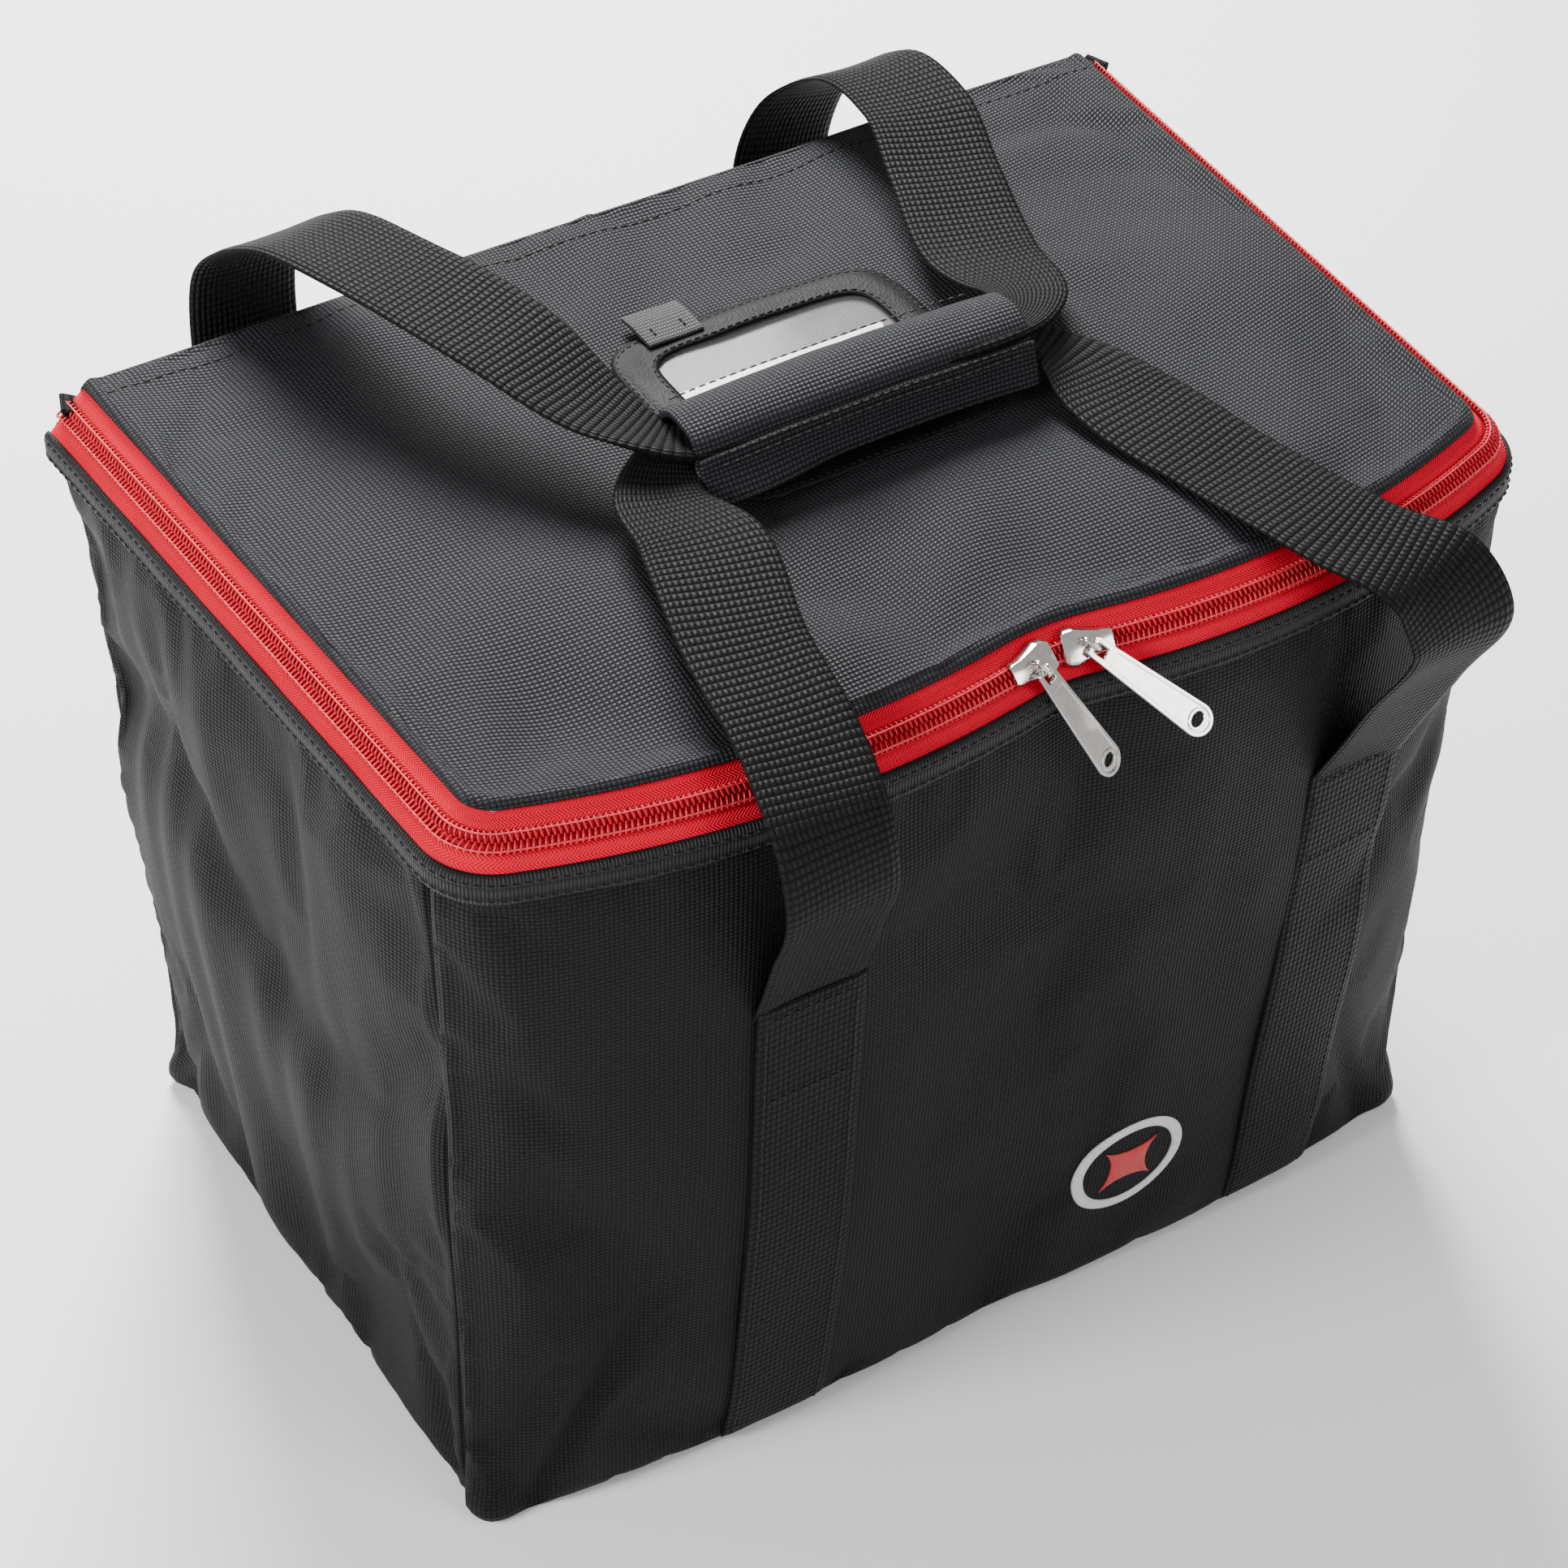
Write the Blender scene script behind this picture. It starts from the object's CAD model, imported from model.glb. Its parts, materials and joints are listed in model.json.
# %% [markdown]
# # A padded carry bag with a zipped lid
# The bag is soft: padded cloth walls, a lid zipped round three sides, and two loops of heavy
# webbing held together by a padded grip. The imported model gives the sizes, joints and bodies;
# here each soft piece is rebuilt as cloth, tape, webbing or plated metal around it.

# %% Load the frame
import json
from math import atan2, cos, hypot, pi, radians, sin, sqrt

import bpy
import numpy as np
from mathutils import Matrix, Vector, noise


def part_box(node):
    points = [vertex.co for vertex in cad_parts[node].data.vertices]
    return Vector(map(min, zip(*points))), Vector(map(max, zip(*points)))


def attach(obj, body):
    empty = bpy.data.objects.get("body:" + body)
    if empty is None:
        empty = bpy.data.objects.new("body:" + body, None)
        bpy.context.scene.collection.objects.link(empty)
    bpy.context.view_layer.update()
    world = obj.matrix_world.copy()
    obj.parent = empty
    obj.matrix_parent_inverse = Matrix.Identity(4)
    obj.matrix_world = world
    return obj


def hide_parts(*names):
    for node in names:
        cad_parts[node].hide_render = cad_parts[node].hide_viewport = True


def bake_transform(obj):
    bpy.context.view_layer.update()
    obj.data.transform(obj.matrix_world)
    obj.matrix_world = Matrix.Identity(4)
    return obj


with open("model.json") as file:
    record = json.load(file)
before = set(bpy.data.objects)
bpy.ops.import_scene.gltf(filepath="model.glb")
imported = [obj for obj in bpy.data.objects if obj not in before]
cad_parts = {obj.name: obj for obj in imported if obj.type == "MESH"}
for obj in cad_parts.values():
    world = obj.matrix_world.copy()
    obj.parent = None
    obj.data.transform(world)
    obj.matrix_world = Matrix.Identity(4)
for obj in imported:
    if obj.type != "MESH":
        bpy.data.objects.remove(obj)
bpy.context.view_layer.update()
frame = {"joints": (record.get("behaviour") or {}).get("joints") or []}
joints = {joint["name"]: joint for joint in frame["joints"]}
print("joints:", ", ".join(joints))

# %% [markdown]
# ## Driving sizes
# Everything hangs on the zip line, the curve where the two halves of the zip meet. It runs up
# one side, round the front and down the other side. The front is two shallow arcs that meet
# in a dip where the sliders rest. Sizes are in metres, as the frame's are.

# %% Driving sizes
MM = 0.001
back_y = joints["lid_hinge"]["pos_m"][1]
rim_z = joints["lid_hinge"]["pos_m"][2]
bevel_run = 6.4 * MM
wall_top = rim_z - bevel_run
lid_under = rim_z + bevel_run
lid_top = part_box("lid_panel")[1].z
corner_r = 18 * MM
back_r = 12 * MM
rim = dict(front_half=184 * MM, back_half=195 * MM, corner_y=-116 * MM,
           peak=(4 * MM, -130 * MM), bow=14 * MM)
base = dict(front_half=187 * MM, back_half=186 * MM, corner_y=-117 * MM,
            peak=(4 * MM, -123 * MM), bow=5 * MM)
print(f"zip line at {rim_z:.3f} m, lid top at {lid_top:.4f} m")

# %% [markdown]
# ## Plan curves
# The plan of the bag is lines and arcs, so it can be moved in or out by any amount without
# changing its character. Each stretch gets a fixed number of points, so the curve at the base
# and the curve at the rim can be joined point to point.


# %% Plan curves
def arc_through(start, end, bow):
    """Centre and radius of the arc from start to end that bulges towards -Y by bow."""
    dx, dy = end[0] - start[0], end[1] - start[1]
    chord = hypot(dx, dy)
    radius = chord * chord / (8 * bow) + bow / 2
    rise = (radius - bow) / chord
    return ((start[0] + end[0]) / 2 - dy * rise, (start[1] + end[1]) / 2 + dx * rise), radius


def front_arcs(shape):
    """The two arcs of the front edge, left and right of the dip."""
    left = (-shape["front_half"], shape["corner_y"])
    right = (shape["front_half"], shape["corner_y"])
    return (arc_through(left, shape["peak"], shape["bow"]),
            arc_through(shape["peak"], right, shape["bow"]))


def side_line(shape, side, inset):
    """A point and unit direction of one side, moved in by inset."""
    run_x = shape["back_half"] - shape["front_half"]
    run_y = back_y - shape["corner_y"]
    length = hypot(run_x, run_y)
    start_x = shape["front_half"] - inset * run_y / length
    start_y = shape["corner_y"] + inset * run_x / length
    return np.array((side * start_x, start_y)), np.array((side * run_x, run_y)) / length


def corner_centre(shape, side, arc):
    """Centre of the round between a side and the front."""
    point, way = side_line(shape, side, corner_r)
    centre, radius = np.array(arc[0]), arc[1] - corner_r
    from_centre = point - centre
    middle = from_centre @ way
    half = sqrt(middle ** 2 - (from_centre @ from_centre - radius ** 2))
    return min((point + way * (-middle + s * half) for s in (-1, 1)), key=lambda p: p[1])


def sweep_arc(centre, radius, a, b, count):
    """Points on an arc between two angles."""
    angles = np.linspace(a, b, count)
    return np.stack([centre[0] + radius * np.cos(angles),
                     centre[1] + radius * np.sin(angles)], axis=1)


SIDE, ROUND, FRONT = 64, 14, 54     # points on a side, on a front corner and on half the front
DIP_REACH, DIP_PASSES = 4, 14       # how widely and how often the dip is averaged


def rim_curve(shape, inset, end_y=None):
    """Points along the left side, the front and the right side, moved in by inset."""
    end_y = back_y if end_y is None else end_y
    halves = []
    for side, arc in zip((-1, 1), front_arcs(shape)):
        centre, radius = np.array(arc[0]), arc[1]
        hub = corner_centre(shape, side, arc)
        point, way = side_line(shape, side, inset)
        normal = np.array((side * abs(way[1]), -abs(way[0])))
        start = hub + normal * (corner_r - inset)
        stop = start + way * ((end_y - start[1]) / way[1])
        straight = stop + (start - stop) * np.linspace(0, 1, SIDE)[:, None]
        to_front = hub - centre
        a = atan2(normal[1], normal[0]) % (2 * pi)
        b = atan2(to_front[1], to_front[0]) % (2 * pi)
        if side > 0:
            a = a - 2 * pi if a - b > pi else a
            a = a + 2 * pi if b - a > pi else a
        bend = sweep_arc(hub, corner_r - inset, a, b, ROUND)
        peak = np.array(shape["peak"]) - centre
        c = atan2(peak[1], peak[0]) % (2 * pi)
        front = sweep_arc(centre, radius - inset, b, c, FRONT)
        halves.append(np.vstack([straight, bend[1:], front[1:]]))
    left, right = halves
    curve = np.vstack([left, right[::-1][1:]])
    dip = len(left) - 1
    for _ in range(DIP_PASSES):
        near = curve[dip - DIP_REACH:dip + DIP_REACH + 1]
        near[1:-1] = (near[:-2] + near[2:]) / 2 * 0.5 + near[1:-1] * 0.5
    return curve


def plan_normals(curve):
    """Outward unit normals along an open plan curve that runs left, front, right."""
    way = np.gradient(curve, axis=0)
    way /= np.linalg.norm(way, axis=1)[:, None]
    return np.stack([way[:, 1], -way[:, 0]], axis=1)


print("points along the zip line:", len(rim_curve(rim, 0)))

# %% [markdown]
# ## Finishes are woven from arithmetic
# Every cloth here is threads passing over and under each other, so one helper builds that
# pattern from a map measured in metres. The map belongs to the mesh, so the threads stay the
# same size on every panel and follow the cloth where it bends.


# %% Shader helpers
def finish(name, roughness=0.7, sheen=0.0, specular=0.4, metallic=0.0):
    """A new material with its node tree and its shader."""
    material = bpy.data.materials.new(name)
    material.use_nodes = True
    tree = material.node_tree
    shader = tree.nodes["Principled BSDF"]
    shader.inputs["Roughness"].default_value = roughness
    shader.inputs["Sheen Weight"].default_value = sheen
    shader.inputs["Sheen Roughness"].default_value = 0.45
    shader.inputs["Specular IOR Level"].default_value = specular
    shader.inputs["Metallic"].default_value = metallic
    return material, tree, shader


def maths(tree, operation, *given):
    """One arithmetic node."""
    node = tree.nodes.new("ShaderNodeMath")
    node.operation = operation
    for socket, value in zip(node.inputs, given):
        if isinstance(value, (int, float)):
            socket.default_value = value
        else:
            tree.links.new(value, socket)
    return node.outputs[0]


def cloth_map(tree, pitch_u, pitch_v):
    """The cloth map, counted in threads."""
    source = tree.nodes.new("ShaderNodeUVMap")
    source.uv_map = "cloth"
    split = tree.nodes.new("ShaderNodeSeparateXYZ")
    tree.links.new(source.outputs[0], split.inputs[0])
    u = maths(tree, "DIVIDE", split.outputs[0], pitch_u)
    v = maths(tree, "DIVIDE", split.outputs[1], pitch_v)
    return source.outputs[0], u, v


def speckle(tree, vector, scale, detail=3.0, stretch=None):
    """Noise between 0 and 1."""
    node = tree.nodes.new("ShaderNodeTexNoise")
    node.inputs["Scale"].default_value = scale
    node.inputs["Detail"].default_value = detail
    if stretch:
        mapping = tree.nodes.new("ShaderNodeMapping")
        mapping.inputs["Scale"].default_value = stretch
        tree.links.new(vector, mapping.inputs[0])
        vector = mapping.outputs[0]
    tree.links.new(vector, node.inputs["Vector"])
    return node.outputs["Fac"]


def shade(tree, factor, *stops):
    """Colours picked by a number, as (place, colour) stops."""
    ramp = tree.nodes.new("ShaderNodeValToRGB")
    ends = ramp.color_ramp.elements
    for element, (place, colour) in zip(ends, (stops[0], stops[-1])):
        element.position, element.color = place, (*colour, 1)
    for place, colour in stops[1:-1]:
        ends.new(place).color = (*colour, 1)
    tree.links.new(factor, ramp.inputs[0])
    return ramp.outputs[0]


def relief(tree, shader, height, depth, strength=1.0):
    """Turns a height between 0 and 1 into relief of that depth."""
    bump = tree.nodes.new("ShaderNodeBump")
    bump.inputs["Strength"].default_value = strength
    bump.inputs["Distance"].default_value = depth
    tree.links.new(height, bump.inputs["Height"])
    tree.links.new(bump.outputs[0], shader.inputs["Normal"])


def over_under(tree, u, v):
    """Height of a plain weave: round threads, each over one neighbour and under the next."""
    turn = maths(tree, "MULTIPLY", maths(tree, "ADD", maths(tree, "FLOOR", u),
                                         maths(tree, "FLOOR", v)), 0.5)
    over = maths(tree, "MULTIPLY", maths(tree, "FRACT", turn), 2.0)
    fu, fv = maths(tree, "FRACT", u), maths(tree, "FRACT", v)
    across = maths(tree, "MULTIPLY_ADD", maths(tree, "SUBTRACT", fu, fv), over, fv)
    along = maths(tree, "MULTIPLY_ADD", maths(tree, "SUBTRACT", fv, fu), over, fu)
    side = maths(tree, "MULTIPLY_ADD", across, 2.0, -1.0)
    round_off = maths(tree, "POWER", maths(tree, "SUBTRACT", 1.0,
                                           maths(tree, "MULTIPLY", side, side)), 0.5)
    crown = maths(tree, "SINE", maths(tree, "MULTIPLY", along, pi))
    height = maths(tree, "MULTIPLY", round_off, maths(tree, "MULTIPLY_ADD", crown, 0.6, 0.4))
    return height, over


# %% [markdown]
# ## Ballistic cloth
# The walls and lid are a coarse plain weave of shiny nylon. Crests catch the light and the
# gaps between threads are nearly black, so both the colour and the relief come from the same
# thread height. The two directions of thread differ slightly, as warp and weft do.


# %% Ballistic cloth and webbing
def weave(name, pitch, gap, crest, gloss, depth, sheen, wear=0.35):
    """A woven finish: pitch is the thread spacing each way, gap and crest its colours."""
    material, tree, shader = finish(name, roughness=0.6, sheen=sheen, specular=gloss)
    vector, u, v = cloth_map(tree, *pitch)
    height, over = over_under(tree, u, v)
    fibre = speckle(tree, vector, 2600, 2.0)
    patch = speckle(tree, vector, 9, 3.0)
    lit = maths(tree, "MULTIPLY", maths(tree, "POWER", height, 1.7),
                maths(tree, "MULTIPLY_ADD", over, -0.28, 1.0))
    lit = maths(tree, "MULTIPLY", lit, maths(tree, "MULTIPLY_ADD", fibre, 0.9, 0.5))
    lit = maths(tree, "MULTIPLY", lit, maths(tree, "MULTIPLY_ADD", patch, wear, 1 - wear / 2))
    middle = tuple((a + b) / 2 for a, b in zip(gap, crest))
    tree.links.new(shade(tree, lit, (0.0, gap), (0.45, middle), (1.0, crest)),
                   shader.inputs["Base Color"])
    rough = maths(tree, "MULTIPLY_ADD", height, -0.22, 0.68)
    tree.links.new(maths(tree, "MULTIPLY_ADD", fibre, 0.12, rough), shader.inputs["Roughness"])
    relief(tree, shader, maths(tree, "MULTIPLY_ADD", fibre, 0.15, height), depth)
    return material


wall_cloth = weave("wall_cloth", (1.5 * MM, 1.5 * MM), (0.0003, 0.0003, 0.0004),
                   (0.0105, 0.0110, 0.0135), 0.12, 0.55 * MM, 0.0)
lid_cloth = weave("lid_cloth", (1.5 * MM, 1.5 * MM), (0.0006, 0.0006, 0.0009),
                  (0.021, 0.0225, 0.0275), 0.22, 0.60 * MM, 0.0)
strap_weave = weave("strap_weave", (1.9 * MM, 2.7 * MM), (0.0003, 0.0003, 0.0003),
                    (0.0085, 0.0085, 0.0092), 0.12, 0.9 * MM, 0.0)
edge_ribs = weave("edge_ribs", (1.1 * MM, 4.0 * MM), (0.0003, 0.0003, 0.0003),
                  (0.0180, 0.0180, 0.0190), 0.26, 1.0 * MM, 0.0)
lining_weave = weave("lining_weave", (0.7 * MM, 0.7 * MM), (0.010, 0.010, 0.011),
                     (0.050, 0.051, 0.055), 0.3, 0.15 * MM, 0.08)
grey_ribs = weave("grey_ribs", (1.0 * MM, 1.6 * MM), (0.020, 0.020, 0.022),
                  (0.085, 0.085, 0.090), 0.3, 0.5 * MM, 0.05)
woven = (wall_cloth, lid_cloth, strap_weave, edge_ribs, lining_weave, grey_ribs)
print("woven finishes:", ", ".join(material.name for material in woven))

# %% [markdown]
# ## Zip tape, thread and metal
# Zip tape is a fine herringbone: columns of slanting ribs that change direction at each
# column. The coil is the same red in solid nylon. The sliders are polished nickel, whose look
# is nearly all reflection, so only fine scratches vary its roughness.


# %% Tape, coil, thread and metal
def herringbone(name, dark, light):
    """Slanting ribs that turn back at each column."""
    material, tree, shader = finish(name, roughness=0.62, sheen=0.0, specular=0.12)
    vector, u, v = cloth_map(tree, 1.15 * MM, 2.3 * MM)
    slant = maths(tree, "MULTIPLY", maths(tree, "PINGPONG", v, 1.0), 2.2)
    rib = maths(tree, "MULTIPLY_ADD", maths(tree, "SINE", maths(
        tree, "MULTIPLY", maths(tree, "ADD", u, slant), 2 * pi)), 0.5, 0.5)
    fibre = speckle(tree, vector, 2200, 2.0)
    lit = maths(tree, "MULTIPLY", maths(tree, "MULTIPLY_ADD", rib, 0.6, 0.4),
                maths(tree, "MULTIPLY_ADD", fibre, 0.6, 0.7))
    tree.links.new(shade(tree, lit, (0.2, dark), (0.9, light)), shader.inputs["Base Color"])
    relief(tree, shader, maths(tree, "MULTIPLY_ADD", fibre, 0.3, rib), 0.3 * MM)
    return material


def grained(name, dark, light, scale, depth, roughness, specular=0.4, sheen=0.0, metallic=0.0):
    """Colour, roughness and relief that vary with a fine grain."""
    material, tree, shader = finish(name, roughness, sheen, specular, metallic)
    source = tree.nodes.new("ShaderNodeTexCoord").outputs["Object"]
    grain = speckle(tree, source, scale, 4.0)
    tree.links.new(shade(tree, grain, (0.3, dark), (0.7, light)), shader.inputs["Base Color"])
    tree.links.new(maths(tree, "MULTIPLY_ADD", grain, 0.2 * roughness, 0.9 * roughness),
                   shader.inputs["Roughness"])
    relief(tree, shader, grain, depth)
    return material


def creased(name, dark, light):
    """Leatherette: small rounded cells with fine lines between."""
    material, tree, shader = finish(name, roughness=0.55, specular=0.10)
    source = tree.nodes.new("ShaderNodeTexCoord").outputs["Object"]
    cell = tree.nodes.new("ShaderNodeTexVoronoi")
    cell.inputs["Scale"].default_value = 1100
    tree.links.new(source, cell.inputs["Vector"])
    broad = speckle(tree, source, 60)
    tree.links.new(shade(tree, broad, (0.3, dark), (0.7, light)), shader.inputs["Base Color"])
    tree.links.new(maths(tree, "MULTIPLY_ADD", broad, 0.2, 0.46), shader.inputs["Roughness"])
    relief(tree, shader, cell.outputs["Distance"], 0.12 * MM)
    return material


red_tape = herringbone("red_tape", (0.36, 0.0, 0.010), (0.80, 0.001, 0.032))
red_coil = grained("red_coil", (0.34, 0.0, 0.010), (0.62, 0.002, 0.026), 900, 0.02 * MM, 0.30,
                   0.35)
black_thread = grained("black_thread", (0.002, 0.002, 0.002), (0.010, 0.010, 0.011), 3000,
                       0.05 * MM, 0.5, 0.3)
white_thread = grained("white_thread", (0.70, 0.70, 0.70), (0.90, 0.90, 0.90), 1500,
                       0.10 * MM, 0.45, sheen=0.2)
red_thread = grained("red_thread", (0.50, 0.004, 0.010), (0.78, 0.014, 0.024), 1500,
                     0.10 * MM, 0.45, sheen=0.2)
nickel = grained("nickel", (0.60, 0.57, 0.54), (0.72, 0.69, 0.66), 500, 0.004 * MM, 0.16,
                 0.5, metallic=1.0)
leatherette = creased("leatherette", (0.0025, 0.0025, 0.003), (0.006, 0.006, 0.007))
foam_grain = grained("foam_grain", (0.30, 0.30, 0.31), (0.48, 0.48, 0.49), 700, 0.4 * MM, 0.9)
card_stock = grained("card_stock", (0.86, 0.86, 0.85), (0.93, 0.93, 0.92), 250, 0.02 * MM, 0.55)
card_ink = grained("card_ink", (0.55, 0.01, 0.02), (0.70, 0.02, 0.03), 250, 0.01 * MM, 0.5)
card_grey = grained("card_grey", (0.05, 0.05, 0.05), (0.09, 0.09, 0.09), 250, 0.01 * MM, 0.5)
hook_pile = grained("hook_pile", (0.004, 0.004, 0.004), (0.035, 0.035, 0.035), 1800, 0.8 * MM,
                    0.7)
loop_pile = grained("loop_pile", (0.002, 0.002, 0.002), (0.016, 0.016, 0.017), 900, 1.2 * MM,
                    0.9, 0.2)
clear_vinyl = grained("clear_vinyl", (0.60, 0.61, 0.63), (0.75, 0.76, 0.78), 12, 0.4 * MM,
                      0.14, 0.6)
clear_vinyl.node_tree.nodes["Principled BSDF"].inputs["Alpha"].default_value = 0.10
print(len(bpy.data.materials), "materials in all")

# %% [markdown]
# ## Sheets made from grids
# Nearly every piece is a sheet: cloth, tape, webbing. A grid of points is the plainest way to
# describe one. The same grid gives the faces and the cloth map, and a Solidify modifier gives
# the sheet its thickness, always away from the side that shows.


# %% Mesh helpers
def add_piece(name, points, faces, uv, material):
    """A smooth-shaded mesh object, with its cloth map if it has one."""
    mesh = bpy.data.meshes.new(name)
    mesh.from_pydata(np.asarray(points, float).reshape(-1, 3).tolist(), [], faces)
    mesh.polygons.foreach_set("use_smooth", [True] * len(mesh.polygons))
    if uv is not None:
        layer = mesh.uv_layers.new(name="cloth")
        corners = np.zeros(len(mesh.loops), int)
        mesh.loops.foreach_get("vertex_index", corners)
        uv = np.asarray(uv, float).reshape(-1, 2)
        layer.data.foreach_set("uv", uv[corners].astype(np.float32).ravel())
    mesh.materials.append(material)
    piece = bpy.data.objects.new(name, mesh)
    bpy.context.scene.collection.objects.link(piece)
    return piece


def grid_faces(n, m):
    """Four-sided faces of an n by m grid."""
    i, j = np.meshgrid(np.arange(n - 1), np.arange(m - 1), indexing="ij")
    a = (i * m + j).ravel()
    return np.stack([a, a + m, a + m + 1, a + 1], axis=1).tolist()


def thicken(piece, thickness, offset=-1.0):
    """Gives a sheet its thickness: behind it at offset -1, in front of it at 1."""
    solid = piece.modifiers.new("thickness", "SOLIDIFY")
    solid.thickness = thickness
    solid.offset = offset


def grid_piece(name, points, uv, material, thickness=None, offset=-1.0):
    """A sheet from a grid of points, with a thickness if one is given."""
    piece = add_piece(name, points, grid_faces(*points.shape[:2]), uv, material)
    if thickness:
        thicken(piece, thickness, offset)
    return piece


def flat_map(points, first=0, second=2):
    """Cloth map from two of the axes."""
    return np.stack([points[..., first], points[..., second]], axis=-1)


def run_length(points):
    """Distance along a row of points."""
    steps = np.linalg.norm(np.diff(points, axis=0), axis=1)
    return np.concatenate([[0], np.cumsum(steps)])


def read_rows(at, length, rows):
    """Rows of numbers, read at distances along a path."""
    return np.stack([np.interp(at, length, rows[:, k]) for k in range(rows.shape[1])], axis=-1)


def raised(plan, z):
    """Plan points lifted to their heights."""
    return np.concatenate([plan, z[..., None]], axis=-1)


def smooth(x):
    """Rises from 0 to 1 with flat ends."""
    x = np.clip(x, 0, 1)
    return x * x * (3 - 2 * x)


def ripple(u, v, seed):
    """Smooth seeded unevenness between about -1 and 1 over arrays."""
    flat = [noise.noise((a, b, seed * 7.31)) for a, b in zip(np.ravel(u), np.ravel(v))]
    return np.reshape(flat, np.shape(u))


def place(piece, body, *nodes, slot=None, fill=None):
    """Puts a piece on its body, says which nodes it stands for and how it is finished."""
    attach(piece, body)
    if nodes:
        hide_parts(*nodes)
    return piece

# %% [markdown]
# ## The walls
# A padded bag is a lofted shell: the plan at the base is joined to the plan at the rim, and
# the cloth between swells a little, sinks at the seams and gathers under the tight binding.
# All four walls are cut from one ring of points, so neighbours meet exactly at the seams.

# %% The ring of wall points
BACK_ROUND, BACK = 13, 100          # points on a back corner and along the back
seam_y = rim["corner_y"] + 12 * MM  # the upright front seams are a little round the corners


def ring(shape, inset):
    """Closed plan, from the left back corner round the front to the same corner."""
    turn = np.linspace(0, pi / 2, BACK_ROUND)
    open_curve = rim_curve(shape, inset, back_y - back_r)
    right, left = open_curve[-1], open_curve[0]
    right_arc = np.stack([right[0] - back_r + back_r * np.cos(turn),
                          right[1] + back_r * np.sin(turn)], axis=1)
    left_arc = np.stack([left[0] + back_r - back_r * np.sin(turn),
                         left[1] + back_r * np.cos(turn)], axis=1)
    straight = right_arc[-1] + (left_arc[0] - right_arc[-1]) * np.linspace(0, 1, BACK)[:, None]
    half = BACK_ROUND // 2
    return np.vstack([left_arc[half:], open_curve[1:], right_arc[1:], straight[1:],
                      left_arc[1:half + 1]])


foot = ring(base, 0)
top = ring(rim, -bevel_run)
count = len(top)
around = run_length(top)
crossings = np.flatnonzero(np.diff(np.sign(foot[:, 1] - seam_y)))
right_back = 2 * (SIDE + ROUND + FRONT - 2) + BACK_ROUND
seams = [0, int(crossings[0]), int(crossings[-1]) + 1, right_back]
print("ring of", count, "points, seams at", seams, [tuple(np.round(top[s], 3)) for s in seams])

# %% Heights and outward directions
WALL_ROWS = 76
# Height and inset, in millimetres, of the rows that turn in under the bag.
under = [(0.6, 12), (0.5, 7.5), (1.0, 4.2), (2.4, 1.8), (5.0, 0.5), (8.5, 0)]
upright_rows = np.linspace(12.5, wall_top / MM - 0.4, WALL_ROWS)
heights = np.concatenate([[z for z, _ in under], upright_rows]) * MM
tuck = np.concatenate([[inset for _, inset in under], np.zeros(WALL_ROWS)]) * MM
share = heights / wall_top
loft = foot[:, None] * (1 - share[:, None]) + top[:, None] * share[:, None]
way = np.roll(loft, -1, axis=0) - np.roll(loft, 1, axis=0)
way[0], way[-1] = loft[1] - loft[-2], loft[1] - loft[-2]
way /= np.linalg.norm(way, axis=2)[..., None]
outward = np.stack([way[..., 1], -way[..., 0]], axis=-1)
print(f"{len(heights)} rows up the wall")

# %% [markdown]
# Creases come in families. The sides hang in long upright folds, the front swells between its
# seams, and a short row of gathers sits under the binding where the cloth was eased in. Each
# family is a small sum of waves or seeded noise, faded out where the cloth is held.


# %% Swell, seams and creases
seam_at = np.array([around[s] for s in seams] + [around[-1]])
panel = np.clip(np.searchsorted(seam_at, around, side="right") - 1, 0, 3)
across = ((around - seam_at[panel]) / (seam_at[panel + 1] - seam_at[panel]))[:, None]
# Per panel, in the order left, front, right and back: swell in millimetres, share of creases.
swell = np.choose(panel, [3.0, 2.6, 3.0, 1.6])[:, None] * MM
on_side = np.choose(panel, [1.0, 0.22, 1.0, 0.3])[:, None]
s_grid, z_grid = np.meshgrid(around, heights, indexing="ij")
up = z_grid / wall_top
lift = swell * np.abs(np.sin(pi * across)) ** 0.6 * np.sin(pi * up) ** 0.7
to_seam = np.abs(s_grid[..., None] - seam_at).min(axis=2)
groove = -2.0 * MM * np.exp(-(to_seam / (1.6 * MM)) ** 2)
welt = 1.1 * MM * np.exp(-((to_seam - 4.5 * MM) / (2.6 * MM)) ** 2)
held = smooth(up / 0.10) * smooth((1 - up) / 0.16)
upright = (ripple(s_grid / 0.034, z_grid / 0.21, 1)
           + 0.5 * ripple(s_grid / 0.017, z_grid / 0.12, 2))
slanting = ripple((s_grid + 0.5 * z_grid) / 0.06, (z_grid - 0.5 * s_grid) / 0.16, 3)
gathers = ripple(s_grid / 0.011, z_grid / 0.06, 4) * np.exp(-(wall_top - z_grid) / (20 * MM))
creases = held * (on_side * upright * 5.4 * MM + slanting * (2.0 + 2.0 * on_side) * MM)
creases += gathers * 1.3 * MM * smooth((1 - up) / 0.045)
slump_at = 0.62 + 0.1 * np.sin(7 * across)
slump = -3.5 * MM * on_side * np.exp(-((up - slump_at) / 0.07) ** 2)
drift = lift + groove + welt + creases + slump * held
drift[:, :4] *= np.linspace(0, 1, 4)     # the lowest rows lie flat under the bag
print(f"cloth stands {drift.max() / MM:.1f} mm proud and sinks {-drift.min() / MM:.1f} mm")

# %% [markdown]
# The bottom corners are where two panels and the base are pulled into one seam. The cloth
# pinches into a small ear there, standing out at the floor and fading within a few
# centimetres.

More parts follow.
